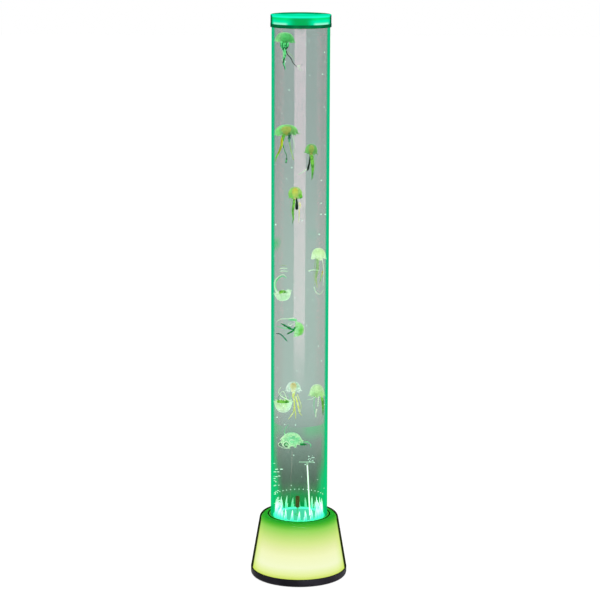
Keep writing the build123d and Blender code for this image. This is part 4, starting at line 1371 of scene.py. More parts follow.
@dataclass(frozen=True)
class Jellyfish:
    """One floating jellyfish, placed by its level in the column.

    The level is the share of the water's height, turn the direction it floats in from the
    axis, wall_gap its distance from the tube, in millimetres, and leans are in degrees.
    """

    number: int
    level: float
    turn: float
    wall_gap: float
    lean_right: float
    lean_back: float
    bell: Bell
    arms: tuple[Arm, ...]
    steps_per_lobe = 8
    points_per_knot = 8
    rim_flare = 0.8
    dome_flare = 0.4
    rim_wave = 0.6
    tuck_height = 0.45
    ruffle_depth = 0.42
    ruffle_phase = 0.13

    @property
    def node(self) -> str:
        """The CAD node and body that it stands for."""
        return f"jellyfish_{self.number:02d}"

    def middle(self, bore: Bore) -> Vector:
        """Where the middle of the bell's rim is, in that bore."""
        return around_axis(bore.radius - (self.bell.radius + self.wall_gap) * MM,
                           math.radians(self.turn),
                           bore.floor + self.level * (bore.rim - bore.floor))

    def _shell(self, name: str, centre: Vector, profile: Sequence[Point], lobes: int,
               lobe_depth: float) -> Weaver:
        """A closed, lobed shell about the bell's own axis.

        Args:
            name: The mesh's name.
            centre: The middle of the bell's rim.
            profile: Radius and height as shares of the bell's, and the along value. Below
                the rim, heights are shares of the frill's instead.
            lobes: How many lobes it has.
            lobe_depth: How deep they are, as a share of the radius.

        Returns:
            The mesh.
        """
        weaver = Weaver(name)
        bell = self.bell
        turned = Matrix.Rotation(math.radians(self.lean_right), 4, "Y") \
            @ Matrix.Rotation(math.radians(-self.lean_back), 4, "X")
        steps = lobes * self.steps_per_lobe
        rings = []
        for radius, height, along in profile:
            ring = []
            for step in range(steps):
                angle = FULL_TURN * step / steps
                lobe = math.cos(lobes * angle)
                flare = self.rim_flare if height < 0 else self.dome_flare
                swell = 1 + lobe_depth * lobe * (1 - height) ** 2 * flare
                rise = height * bell.height if height >= 0 \
                    else height * bell.frill * (1 + self.rim_wave * lobe)
                offset = around_axis(radius * bell.radius * swell, angle, rise) * MM
                ring.append(weaver.point(centre + turned @ offset, along, step / steps))
            rings.append(ring)
        weaver.close(rings)
        return weaver

    def bell_mesh(self, centre: Vector) -> Weaver:
        """The bell as a thin domed skin with a scalloped margin, curled in by its tuck.

        Args:
            centre: The middle of its rim.

        Returns:
            The mesh.
        """
        inner = ((0.05, 0.88), (0.3, 0.85), (0.55, 0.73), (0.77, 0.5), (0.87, 0.26), (0.91, 0.02),
                 (0.9, -0.4))
        margin = ((0.94, -0.75), (1.01, -0.45))
        outer = ((1.0, 0.0), (0.99, 0.13), (0.955, 0.3), (0.885, 0.5), (0.77, 0.69),
                 (0.61, 0.84), (0.42, 0.935), (0.22, 0.985), (0.07, 1.0))
        profile = []
        for radius, height in (*inner, *margin, *outer):
            tucked = self.bell.tuck * max(0.0, 1 - max(height, 0.0) / self.tuck_height) ** 2
            profile.append((radius * (1 - tucked), height, min(radius, 1.0)))
        return self._shell(f"{self.node}_bell", centre, profile, self.bell.lobes,
                           self.bell.lobe_depth)

    def stomach_mesh(self, centre: Vector) -> Weaver:
        """The soft body that hangs inside the bell and runs out into its arms.

        Args:
            centre: The middle of the bell's rim.

        Returns:
            The mesh.
        """
        profile = ((0.06, 0.84, 0.0), (0.2, 0.82, 0.05), (0.34, 0.72, 0.2), (0.42, 0.55, 0.35),
                   (0.41, 0.36, 0.5), (0.34, 0.18, 0.65), (0.25, 0.04, 0.8), (0.18, -0.6, 0.9),
                   (0.1, -1.4, 1.0))
        return self._shell(f"{self.node}_stomach", centre, profile, lobes=4, lobe_depth=0.3)

    def arm_mesh(self, arm: Arm, index: int, centre: Vector) -> Weaver:
        """One arm or thread.

        Args:
            arm: Its path, make and tone.
            index: Its number on this jellyfish.
            centre: The middle of the bell's rim.

        Returns:
            The mesh.
        """
        weaver = Weaver(f"{self.node}_arm_{index}")
        knots = [centre + Vector(point) * MM for point in arm.points]
        count = self.points_per_knot * len(knots)
        path = curve_points(knots, count)
        swell = arm.build.swell(len(knots), index)
        widths = [arm.width * MM * swell(step / (count - 1)) for step in range(count)]
        if arm.build is Build.FRILL:
            weaver.frill(path, widths, waves=2.0 * len(knots), depth=self.ruffle_depth,
                         phase=self.ruffle_phase * index)
        else:
            weaver.strand(path, [width / 2 for width in widths],
                          sides=6 if arm.build is Build.THREAD else 8,
                          flatten=0.75 if arm.build is Build.ROPE else 1.0)
        return weaver

    def build(self, middle: Vector, gain: float) -> None:
        """Makes the jellyfish and puts it in place of its CAD node.

        Its pieces are left out of shadow and glossy rays: they would cut gaps into the
        studio light's reflection in the bore.

        Args:
            middle: The middle of the bell's rim.
            gain: How much brighter it is than it looks through the tube.
        """
        bell = self.bell
        skin = JellySkin(
            ((0.0, dimmed(bell.crown, gain)), (0.5, dimmed(bell.middle, gain)),
             (0.86, dimmed(bell.middle, gain)), (1.0, dimmed(bell.rim, gain))),
            spot=dimmed(bell.middle, bell.mottle * gain), spot_share=0.45,
            lit=dimmed(bell.lit, gain), lit_share=bell.lit_share,
            clear_root=bell.clearness, clear_end=bell.clearness * 0.7, rings=bell.rings)
        pieces = [self.bell_mesh(middle).finish(skin.make(f"{self.node}_bell_silicone"))]
        if bell.stomach:
            top, root = bell.stomach
            inside = JellySkin(((0.0, dimmed(top, gain)), (1.0, dimmed(root, gain))),
                               spot=dimmed(root, 0.5 * gain), spot_share=0.4)
            pieces.append(self.stomach_mesh(middle)
                          .finish(inside.make(f"{self.node}_stomach_silicone")))
        for index, arm in enumerate(self.arms, start=1):
            name = f"jelly_{arm.tone.name.lower()}"
            material = bpy.data.materials.get(name) or arm.tone.skin(gain).make(name)
            pieces.append(self.arm_mesh(arm, index, middle).finish(material))
        for each in pieces:
            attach(each, self.node)
            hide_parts(self.node)
            each.visible_shadow = each.visible_glossy = False
        log.info("%s: bell %.0f mm, %d arms", self.node, 2 * bell.radius, len(self.arms))


def arm_maker(build: Build) -> Callable[..., Arm]:
    """A function that makes arms of one build.

    Args:
        build: How they are made.

    Returns:
        The function, which takes a tone, a width and the points.
    """

    def make(tone: Tone, width: float, *points: Point) -> Arm:
        """One arm of that build."""
        return Arm(build, tone, width, points)

    return make


frill, rope, club, beads, thread = map(arm_maker, Build)


FLOATS: tuple[Jellyfish, ...] = (
    Jellyfish(1, 0.9555, 180, 2.6, 4, 0,
              Bell(19.4, 17, paint(130, 216, 138), paint(86, 188, 98), paint(52, 164, 72),
                   stomach=(paint(130, 222, 150), paint(96, 204, 124)),
                   lit=paint(176, 248, 174), lit_share=0.75, clearness=0.78),
              (frill(Tone.GREEN, 9, (-4, -3, 1), (-5, -4, -7), (-4, -3, -14), (-1, -3, -22)),
               frill(Tone.GREEN, 10, (0, 1, 0), (1, 0, -8), (0, 0, -16), (-1, 0, -23)),
               frill(Tone.GREEN, 8, (3, -2, 0), (5, -2, -8), (3, -2, -15), (0, -2, -21)),
               beads(Tone.FOREST, 3, (-3, -6, -2), (-5, -6, -10), (-2, -6, -19)),
               beads(Tone.FOREST, 3, (3, -6, -3), (4, -6, -11), (2, -6, -18)),
               rope(Tone.MINT, 5, (-1, -1, -15), (-2, -1, -30), (-1, 0, -48), (2, 0, -59)),
               frill(Tone.GREEN, 4, (0, -2, -18), (1, -2, -30), (-3, -2, -44), (1, -2, -58)),
               thread(Tone.DARK, 2.2, (3, -3, -20), (6, -3, -28), (13, -2, -36), (17, -1, -45),
                      (25, 0, -53)),
               thread(Tone.SAGE, 1.2, (6, -2, -22), (14, 0, -30), (20, 1, -38)),
               thread(Tone.PALE, 1.4, (25, 0, -53), (31, 1, -50), (29, 2, -58), (37, 2, -60)))),
    Jellyfish(2, 0.776, 180, 1.8, -3, 0,
              Bell(24.2, 17, paint(170, 200, 110), paint(130, 196, 90), paint(60, 124, 46),
                   stomach=(paint(232, 186, 112), paint(222, 158, 84)),
                   lit=paint(154, 252, 150), lit_share=0.85, clearness=0.88, lobe_depth=0.14,
                   frill=3.0, tuck=0.08),
              (frill(Tone.LIME, 5.5, (-6, -3, -3), (-9, -3, -14), (-10, -3, -25), (-15, -2, -39),
                     (-21, 0, -51), (-22, 2, -60)),
               beads(Tone.RUST, 2.2, (-9, -5, -12), (-11, -5, -22), (-13, -4, -32)),
               frill(Tone.LEAF, 7, (-5, -4, -1), (-6, -5, -8), (-6, -4, -17)),
               rope(Tone.TEAL, 8, (6, -2, 1), (6, -2, -6), (6, -2, -12), (6, -2, -18)),
               rope(Tone.SAGE, 4, (5, -1, -10), (8, -1, -28), (11, 0, -42), (15, 0, -56)),
               thread(Tone.FOREST, 2.0, (-7, -3, -24), (-3, -3, -38), (1, -2, -48), (-1, -2, -60)),
               beads(Tone.GREEN, 4.5, (1, -2, -52), (-1, -2, -62)),
               thread(Tone.PALE, 1.2, (12, 2, -2), (16, 3, -24), (13, 3, -44)))),
    Jellyfish(3, 0.7362, 33, 15.9, 6, 0,
              Bell(13.2, 18, paint(150, 190, 120), paint(118, 186, 84), paint(70, 138, 50),
                   stomach=(paint(222, 180, 112), paint(190, 150, 80)),
                   lit=paint(140, 216, 110), lit_share=0.6, clearness=0.88, lobes=6,
                   lobe_depth=0.16, tuck=0.12),
              (rope(Tone.LEAF, 3.6, (-2, -1, 2), (-2, -1, -5), (-2, -1, -11)),
               club(Tone.DARK, 5.5, (-2, -1, -8), (-3, -1, -20), (-5, -1, -30), (-7, -1, -38)),
               frill(Tone.LEAF, 6, (2, 0, -4), (2, 0, -18), (3, 0, -36), (2, 0, -57)),
               thread(Tone.LEAF, 2.4, (4, 1, -6), (6, 1, -28), (4, 1, -54)),
               thread(Tone.PALE, 1.8, (-8, -1, -34), (-14, -1, -39), (-20, -2, -43),
                      (-27, -2, -47)),
               thread(Tone.SAGE, 1.2, (6, 3, 0), (9, 3, -20), (7, 3, -38)))),
    Jellyfish(4, 0.652, 234, 22.5, -2, 0,
              Bell(15.3, 21, paint(255, 196, 70), paint(170, 214, 84), paint(84, 196, 44),
                   stomach=(paint(255, 176, 50), paint(255, 214, 160)),
                   lit=paint(150, 224, 96), lit_share=0.45, clearness=0.88, lobes=6,
                   tuck=0.2),
              (frill(Tone.LEAF, 5.5, (-2, 0, 2), (-3, 0, -14), (-5, 0, -31), (-4, 0, -45),
                     (-6, 0, -55)),
               club(Tone.DARK, 7.5, (2, -1, -1), (3, -1, -10), (3, -1, -19), (3, -1, -27)),
               frill(Tone.LEAF, 7, (8, -4, 6), (12, -4, 1), (9, -4, -3)),
               frill(Tone.CREAM, 4.5, (8, 1, -12), (10, 1, -19), (8, 1, -28)),
               thread(Tone.CREAM, 2.6, (8, 1, -26), (8, 1, -40), (7, 1, -54)),
               thread(Tone.SAGE, 1.2, (-7, 2, -2), (-10, 2, -20), (-8, 2, -36)))),
    Jellyfish(5, 0.531, 0, 1.6, 3, 0,
              Bell(15.0, 18, paint(236, 250, 206), paint(218, 242, 182), paint(238, 252, 216),
                   stomach=(paint(236, 250, 196), paint(214, 238, 170)),
                   lit=paint(232, 252, 212), lit_share=0.4, clearness=0.6, lobes=5, frill=4.0,
                   mottle=0.75),
              (frill(Tone.SAGE, 6, (-2, 0, -4), (-2, 0, -24), (-5, 0, -46), (-2, 0, -66)),
               thread(Tone.PALE, 1.6, (-9, 0, -64), (-4, -1, -76), (4, -1, -79), (11, 0, -70)),
               thread(Tone.LIME, 2.2, (9, -1, -30), (7, -1, -40), (3, -1, -54)),
               thread(Tone.PALE, 2.2, (-21, -1, -30), (-10, -1, -28), (2, -1, -29)),
               thread(Tone.PALE, 1.5, (8, 0, -4), (11, 0, -30), (10, 0, -62)),
               thread(Tone.SAGE, 1.4, (-6, 2, -4), (-9, 2, -34), (-8, 2, -62)))),
    Jellyfish(6, 0.458, 180, 2.0, 170, 0,
              Bell(17, 17, paint(190, 240, 170), paint(206, 236, 198), paint(236, 248, 220),
                   stomach=(paint(150, 214, 130), paint(86, 186, 56)),
                   lit=paint(226, 255, 210), lit_share=0.7, clearness=0.66, mottle=0.7),
              (rope(Tone.PALE, 4.4, (4, -3, -14), (-5, -4, -9), (-12, -4, 2), (-17, -2, 14),
                    (-15, -2, 27), (-4, -1, 38)),
               rope(Tone.MINT, 3.8, (-2, 0, -10), (-10, 0, -2), (-14, 0, 8), (-15, 1, 18),
                    (-10, 1, 29), (0, 1, 35), (8, 1, 31)),
               thread(Tone.PALE, 1.6, (-4, -1, 38), (3, -1, 38), (8, -1, 32)),
               frill(Tone.LEAF, 9, (-7, -4, 1), (2, -5, 2), (11, -4, 1)),
               beads(Tone.PALE, 2.2, (-6, 1, 45), (2, 1, 46), (10, 1, 45)),
               beads(Tone.PALE, 2.2, (-6, 1, 51), (2, 1, 52), (10, 1, 51)),
               beads(Tone.SAGE, 1.6, (-4, 1, 57), (2, 1, 58), (8, 1, 57)))),
    Jellyfish(7, 0.3845, 180, 31.5, 96, 0,
              Bell(15.5, 17, paint(176, 218, 96), paint(130, 210, 90), paint(196, 244, 190),
                   stomach=(paint(80, 196, 84), paint(10, 130, 66)),
                   lit=paint(196, 244, 180), lit_share=0.4, clearness=0.68),
              (rope(Tone.FOREST, 6, (-2, -3, -2), (-12, -4, 2), (-21, -3, 7), (-31, -2, 12)),
               rope(Tone.FOREST, 5, (-6, -1, -4), (-12, -1, -7), (-19, -1, -11)),
               thread(Tone.PALE, 2.2, (-4, 1, 23), (-16, 1, 22), (-31, 1, 21), (-40, 1, 16)),
               frill(Tone.MINT, 5, (2, 1, 19), (-8, 1, 20), (-16, 1, 19)),
               club(Tone.TEAL, 4, (-41, 1, -10), (-33, 1, -11), (-25, 1, -18), (-18, 1, -27)),
               thread(Tone.MINT, 2.4, (-10, 1, 0), (-26, 1, 2), (-41, 1, 6)),
               thread(Tone.PALE, 1.4, (-6, -3, 12), (-12, -4, 8), (-16, -4, 12), (-10, -4, 15)))),
    Jellyfish(8, 0.266, 242, 12.5, 0, 0,
              Bell(15.4, 17, paint(244, 214, 150), paint(190, 226, 190), paint(250, 255, 246),
                   stomach=(paint(255, 166, 70), paint(255, 214, 84)),
                   lit=paint(250, 255, 246), lit_share=0.9, clearness=0.9),
              (frill(Tone.OLIVE, 6, (2, -1, -1), (0, -2, -12), (1, -2, -24)),
               rope(Tone.OLIVE, 3.4, (1, -2, -18), (2, -2, -34), (1, -2, -46), (-5, -2, -56),
                    (-10, -2, -63)),
               rope(Tone.OLIVE, 3.0, (2, -1, -20), (3, -1, -38), (5, -1, -52), (5, -1, -62)),
               frill(Tone.OLIVE, 3.6, (5, 0, -14), (10, 0, -34), (13, 0, -48), (18, 0, -56)),
               thread(Tone.OLIVE, 1.6, (8, 1, -10), (16, 1, -32), (15, 1, -48)),
               thread(Tone.PALE, 2.6, (-4, -1, -26), (-16, -1, -19), (-26, -1, -13),
                      (-31, -1, -4), (-26, -1, 6)),
               thread(Tone.PALE, 1.6, (-14, -1, -20), (-18, -1, -8), (-22, -1, -3),
                      (-27, -1, -8), (-21, -1, -13)))),
    Jellyfish(9, 0.251, 5, 2.7, 2, 0,
              Bell(15.4, 21, paint(228, 244, 206), paint(206, 234, 178), paint(176, 226, 140),
                   stomach=(paint(240, 240, 196), paint(150, 200, 110)),
                   lit=paint(226, 250, 206), lit_share=0.5, clearness=0.62, frill=3.4),
              (rope(Tone.FOREST, 6, (-9, -5, 4), (-7, -6, 0), (-5, -5, -4)),
               beads(Tone.PALE, 2.6, (4, -1, 0), (3, -1, -14), (2, -1, -27)),
               beads(Tone.PALE, 3.0, (0, -1, -32), (-2, -1, -42), (-2, -1, -50)),
               thread(Tone.MINT, 1.6, (-5, 0, -6), (-6, 0, -25), (-4, 0, -42)),
               frill(Tone.LEAF, 5.5, (8, 0, 6), (12, 0, -14), (13, 0, -32), (13, 0, -46)),
               thread(Tone.PALE, 1.6, (-3, -2, -4), (-10, -2, -10), (-20, -2, -11)))),
    Jellyfish(10, 0.233, 167, 1.7, 180, 0,
              Bell(18.4, 22, paint(240, 254, 236), paint(230, 250, 216), paint(206, 240, 170),
                   stomach=(paint(244, 222, 188), paint(226, 232, 170)),
                   lit=paint(226, 255, 232), lit_share=0.6, clearness=0.45, lobes=10, rings=3,
                   mottle=0.62),
              (frill(Tone.LEAF, 10, (-13, -7, 1), (-1, -9, 2), (12, -6, 1)),
               frill(Tone.LEAF, 8, (6, 1, -6), (8, 1, 2), (3, 1, 12)),
               thread(Tone.MINT, 1.6, (10, 4, -2), (15, 5, 8), (11, 5, 16)),
               thread(Tone.FOREST, 1.6, (-9, 3, -2), (-11, 3, 8), (-6, 3, 16)))),
    Jellyfish(11, 0.153, 154, 15.3, -4, 48,
              Bell(21.5, 15, paint(90, 222, 180), paint(150, 236, 170), paint(226, 250, 200),
                   stomach=None, lit=paint(214, 252, 200), lit_share=0.6, clearness=0.55,
                   lobes=10),
              (rope(Tone.FOREST, 2.6, (-6, -12, -5), (-11, -12, -1), (-15, -12, -5),
                    (-11, -12, -10), (-7, -12, -7)),
               thread(Tone.PALE, 2.0, (-4, -13, -5), (-11, -13, 2), (-18, -13, -5),
                      (-11, -13, -12), (-4, -13, -8)),
               rope(Tone.FOREST, 2.2, (-20, -10, -5), (-23, -10, -2), (-26, -10, -5),
                    (-23, -10, -8), (-20, -10, -6)),
               thread(Tone.PALE, 1.8, (-18, -11, -7), (-23, -11, 0), (-28, -10, -5),
                      (-23, -11, -10), (-14, -12, -13), (-2, -12, -14)),
               thread(Tone.PALE, 2.0, (-24, -7, 4), (-16, -5, 12), (-5, -4, 16), (8, -3, 15)),
               thread(Tone.PALE, 1.6, (6, -10, 4), (-2, -11, 5), (-4, -12, 0), (4, -12, -4)),
               rope(Tone.MINT, 3.0, (20, -5, -4), (28, -6, -1), (35, -6, -1), (41, -5, -8),
                    (40, -5, -13)),
               frill(Tone.FOREST, 5, (18, -5, -6), (26, -6, -6), (34, -6, -7)),
               thread(Tone.MINT, 1.6, (-14, 2, 10), (-15, 2, 20), (-11, 2, 30), (-6, 2, 35)))),
)


# ------------------------------------------------------------------ sub-assemblies
@dataclass(frozen=True)
class Flame:
    """One pointed blade of light-carrying acrylic.

    It stands at radius from the axis in the outward direction, moved by shift and leaning at
    its tip along the ring. dim says how far it stands from the light, 0 to 1. Towards its tip
    it leans inwards by a share of its height, gives up part of its shift, and gets thinner.
    """

    outward: Vector
    radius: float
    foot: float
    width: float
    shift: float
    lean: float
    height: float
    dim: float
    steps = 10
    thickness = 0.0008
    taper = 0.6
    inward_lean = 0.09
    shift_loss = 0.3
    blunt_from = 0.985
    point_power = 0.75
    corners = ((-1, 0), (-0.4, -1), (0.4, -1), (1, 0), (0.4, 1), (-0.4, 1))

    def join(self, weaver: Weaver) -> None:
        """Adds the blade to a mesh.

        Args:
            weaver: The mesh.
        """
        along = Vector((-self.outward.y, self.outward.x, 0))
        rings = []
        for step in range(self.steps + 1):
            share = step / self.steps
            narrow = math.cos(math.pi / 2 * min(share, self.blunt_from)) ** self.point_power
            half = self.width / 2 * narrow
            moved = self.shift * (1 - self.shift_loss * share) + self.lean * share**2
            centre = self.outward * (self.radius - self.inward_lean * self.height * share**2) \
                + along * moved + Vector((0, 0, self.foot + self.height * share))
            thick = self.thickness * (1 - self.taper * share)
            rings.append([weaver.point(centre + side * half * along
                                       + face * thick * self.outward, share, self.dim)
                          for side, face in self.corners])
        weaver.close(rings)


@dataclass
class LightBlades:
    """The ring of pointed light blades that stands on the tube's floor.

    To the left and right, blades stand in groups. Each flame of a group is given by its
    shift in blade widths and by the share of the height that it has.
    """

    count: int = 22
    width: float = 0.0062
    height: float = 0.0369
    ring_height: float = 0.003
    ring_width: float = 0.006
    outer_chamfer: float = 0.0012
    inner_chamfer: float = 0.001
    chamfer_height: float = 0.0008
    ring_steps: int = 96
    seat_depth: float = 0.003
    seat_lift: float = 0.001
    seat_step: float = 0.0004
    unevenness: float = 0.14
    uneven_pace: Span = (2.4, 0.9)
    rear_loss: float = 0.3
    front_loss: float = 0.36
    rear_dimness: float = 0.9
    lean_share: float = 0.3
    lean_pace: float = 1.7
    lean_growth: float = 0.6
    slim_share: float = 0.62
    group_side: float = 0.35
    group: tuple[Span, ...] = ((0.0, 1.0), (-0.46, 0.52), (0.5, 0.6), (-0.85, 0.78), (0.9, 0.7))
    pair: tuple[Span, ...] = ((0.0, 1.0), (-0.4, 0.42))

    def build(self) -> None:
        """Makes the ring and its blades in place of the CAD ring."""
        low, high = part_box("blade_ring")
        swing, beat = self.uneven_pace
        weaver = Weaver("light_blades")
        self._ring(weaver, high.x, low.z)
        for index in range(self.count):
            turn = FULL_TURN * (index + 0.5) / self.count
            outward = around_axis(1.0, turn, 0.0)
            beside = abs(outward.x) ** 2
            rear = max(0.0, outward.y) * (1 - beside)
            front = max(0.0, -outward.y) * (1 - beside)
            uneven = 0.5 + 0.5 * math.sin(swing * index) * math.cos(beat * index)
            height = self.height * (1 - self.unevenness * uneven) \
                * (1 - self.rear_loss * rear) * (1 - self.front_loss * front)
            lean = self.lean_share * self.width * math.sin(self.lean_pace * index)
            flames = self.group if beside > self.group_side else self.pair
            for number, (shift, share) in enumerate(flames):
                Flame(outward, high.x - self.seat_depth - self.seat_step * number,
                      low.z + self.seat_lift, self.width * (self.slim_share if number else 1.0),
                      shift * self.width, lean * (1 + self.lean_growth * number),
                      height * share, self.rear_dimness * rear).join(weaver)
        glow = LitAcrylic(paint(70, 250, 200, 1.5), paint(235, 255, 240, 1.9), clearness=0.12)
        piece = weaver.finish(glow.make("clear_blades"))
        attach(piece, "root")
        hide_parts("blade_ring")
        log.info("light blades: %d", self.count)

    def _ring(self, weaver: Weaver, radius: float, foot: float) -> None:
        """Adds the flat ring that carries the blades.

        Args:
            weaver: The mesh that it joins.
            radius: Its outer radius.
            foot: The height of its underside.
        """
        inner = radius - self.ring_width
        top = foot + self.ring_height
        profile = ((radius, foot), (radius, top - self.chamfer_height),
                   (radius - self.outer_chamfer, top), (inner + self.inner_chamfer, top),
                   (inner, top - self.chamfer_height), (inner, foot), (radius, foot))
        weaver.skin([[weaver.point(around_axis(reach, FULL_TURN * step / self.ring_steps, height))
                      for step in range(self.ring_steps)] for reach, height in profile])


@dataclass
class AirBubbles:
    """Small air bubbles: loose ones, a dotted arc and marks on the wall, some at the tee.

    A radius or a place that chance varies is given as where it starts and what chance adds.
    A turn is in degrees, and the dots' turn is that of the first one and their pitch.
    """

    bore: Bore
    seed: int = 8
    loose_count: int = 70
    loose_radius: Span = (0.0006, 0.0009)
    loose_gap: float = 0.0004
    loose_reach: float = 0.045
    loose_sinking: float = 1.6
    loose_foot: float = 0.05
    loose_margin: float = 0.09
    dot_count: int = 15
    dot_radius: float = 0.0011
    dot_turn: Span = (20, 10)
    dot_gap: float = 0.0016
    dot_rise: float = 0.042
    mark_count: int = 22
    mark_radius: Span = (0.0006, 0.0006)
    mark_turn: Span = (182, 44)
    mark_gap: float = 0.0018
    mark_rise: Span = (0.03, 0.09)
    mark_width: float = 3.0
    tee_count: int = 14
    tee_radius: Span = (0.0006, 0.0007)
    tee_spans: tuple[Span, Span, Span] = ((0.004, -0.015), (-0.004, 0.008), (-0.005, 0.017))
    speck_radius: float = 0.0016
    specks: tuple[Point, ...] = ((-0.0505, -0.006, 0.757), (0.0395, -0.030, 0.741),
                                 (0.043, -0.006, 0.779), (0.052, -0.006, 0.779))

    def build(self) -> None:
        """Makes all bubbles as one piece."""
        numbers = random.Random(self.seed)
        weaver = Weaver("air_bubbles")
        self._loose(weaver, numbers)
        self._on_wall(weaver, numbers)
        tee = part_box("riser_tee")[1]
        for _ in range(self.tee_count):
            offset = Vector([start + width * numbers.random() for start, width in self.tee_spans])
            self._bubble(weaver, tee + offset, self._chance(numbers, self.tee_radius))
        for speck in self.specks:
            self._bubble(weaver, Vector(speck), self.speck_radius)
        # Painted highlights: the bubbles glow, though they are only air.
        air = LitAcrylic(paint(210, 255, 224, 1.3), paint(245, 255, 250, 1.5), clearness=0.3)
        piece = weaver.finish(air.make("air_bubble"))
        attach(piece, "root")
        log.info("air bubbles: %d", self.loose_count + self.dot_count + self.mark_count
                 + self.tee_count + len(self.specks))

    @staticmethod
    def _chance(numbers: random.Random, span: Span) -> float:
        """The start of a span with some of what chance adds."""
        return span[0] + span[1] * numbers.random()

    def _loose(self, weaver: Weaver, numbers: random.Random) -> None:
        """Adds the loose bubbles, a third of them in the water and the others on the wall.

        Args:
            weaver: The mesh that they join.
            numbers: The source of chance.
        """
        bore = self.bore
        for index in range(self.loose_count):
            radius = self.loose_radius[0] + self.loose_radius[1] * numbers.random() ** 2
            turn = FULL_TURN * numbers.random()
            reach = bore.radius - radius - self.loose_gap if index % 3 \
                else self.loose_reach * numbers.random() ** 0.5
            rise = numbers.random() ** (self.loose_sinking if index % 2 else 1.0)
            height = bore.floor + self.loose_foot \
                + rise * (bore.rim - bore.floor - self.loose_margin)
            self._bubble(weaver, around_axis(reach, turn, height), radius)

    def _on_wall(self, weaver: Weaver, numbers: random.Random) -> None:
        """Adds the dotted arc on the rear wall and the flat marks at the front left.

        Args:
            weaver: The mesh that they join.
            numbers: The source of chance.
        """
        bore = self.bore
        first, pitch = self.dot_turn
        for step in range(self.dot_count):
            self._bubble(weaver, around_axis(bore.radius - self.dot_gap,
                                             math.radians(first + pitch * step),
                                             bore.floor + self.dot_rise), self.dot_radius)
        start, height = self.mark_rise
        for step in range(self.mark_count):
            turn = math.radians(self._chance(numbers, self.mark_turn))
            rise = start + height * step / self.mark_count
            self._bubble(weaver, around_axis(bore.radius - self.mark_gap, turn,
                                             bore.floor + rise),
                         self._chance(numbers, self.mark_radius), self.mark_width)

    @staticmethod
    def _bubble(weaver: Weaver, centre: Vector, radius: float, wide: float = 1.0) -> None:
        """Adds one bubble.

        Args:
            weaver: The mesh that it joins.
            centre: Its middle.
            radius: Its radius.
            wide: How much wider than tall it is, when it is flattened on the wall.
        """
        steps, sides, squat = 6, 8, 0.85
        rings = []
        for step in range(1, steps):
            tilt = math.pi * step / steps
            rings.append([weaver.point(
                centre + radius * Vector((wide * math.sin(tilt) * math.cos(side),
                                          math.sin(tilt) * math.sin(side),
                                          squat * math.cos(tilt))), step / steps)
                for side in (FULL_TURN * corner / sides for corner in range(sides))])
        weaver.close(rings)


@dataclass
class WaterColumn:
    """The tube with its floor, socket and air line, and what stands and floats in it.

    The jellyfish are made brighter by the share of their light that the tube lets through.
    """

    bore: Bore
    seen_through: float = 0.68
    floor_light: Stops = ((0.0, paint(10, 150, 90)), (1.0, paint(90, 240, 195, 0.96)))

    def build(self) -> None:
        """Builds and dresses the whole column."""
        dress("water_tube", ColumnWall(self.bore).make("clear_acrylic"))
        low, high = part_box("tube_floor")
        dress("tube_floor", LitDiffuser(self.floor_light, low.z, high.z).make("lit_floor_disc"))
        dress_in(Finish.SEAL_RUBBER, "tube_gasket", "air_hose")
        dress_in(Finish.GREY_PLASTIC, "column_socket")
        dress_in(Finish.SCREW_STEEL, "socket_screws")
        dress_in(Finish.WHITE_PLASTIC, "check_valve")
        dress_in(Finish.LIT_BRASS, "floor_nozzle")
        dress_in(Finish.BLACK_RUBBER, "nozzle_washer")
        dress_in(Finish.BRASS, "nozzle_nut")
        dress_in(Finish.STONE, "air_stone")
        dress_in(Finish.LIT_TUBING, "riser_pipe")
        dress_in(Finish.LIT_NOZZLE, "riser_tee")
        LightBlades().build()
        AirBubbles(self.bore).build()
        for each in FLOATS:
            each.build(each.middle(self.bore), 1 / self.seen_through)


@dataclass
class Cap:
    """The lift-off lid and its seal."""

    band_height: float = 0.007

    def build(self) -> None:
        """Dresses the lid and its seal."""
        low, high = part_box("cap")
        lid = CapAcrylic(low.z + self.band_height, high.z, high.x)
        dress("cap", lid.make("cap_acrylic"))
        dress_in(Finish.SEAL_RUBBER, "cap_seal")


@dataclass
class Base:
    """The black tray with its feet, and the lit cone on it.

    The shoulder is how far the cone's flat top reaches beyond the tube, and cone_foot the
    height at which the cone starts.
    """

    light: Stops = (
        (0.0, paint(212, 230, 104)), (0.07, paint(236, 247, 166)), (0.2, paint(251, 255, 216)),
        (0.4, paint(249, 252, 202)), (0.52, paint(238, 244, 180)), (0.64, paint(220, 238, 152)),
        (0.76, paint(192, 228, 124)), (0.87, paint(152, 218, 94)), (0.95, paint(88, 192, 54)),
        (1.0, paint(34, 168, 42)))
    side_light: Colour = paint(205, 238, 70)
    shoulder: float = 0.0219
    cone_foot: float = 0.019

    def build(self) -> None:
        """Dresses the tray, feet, cover, diffuser and screws."""
        dress_in(Finish.BLACK_PLASTIC, "base_tray")
        dress_in(Finish.FOOT_RUBBER, "rubber_feet")
        dress_in(Finish.SCREW_STEEL, "cover_screws")
        _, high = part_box("base_cover")
        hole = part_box("water_tube")[1].x
        cover = ClearCover(self.cone_foot, high.x, high.z, hole + self.shoulder, hole)
        dress("base_cover", cover.make("clear_cover"))
        low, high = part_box("base_diffuser")
        diffuser = LitDiffuser(self.light, low.z, high.z, self.side_light)
        dress("base_diffuser", diffuser.make("frosted_diffuser"))


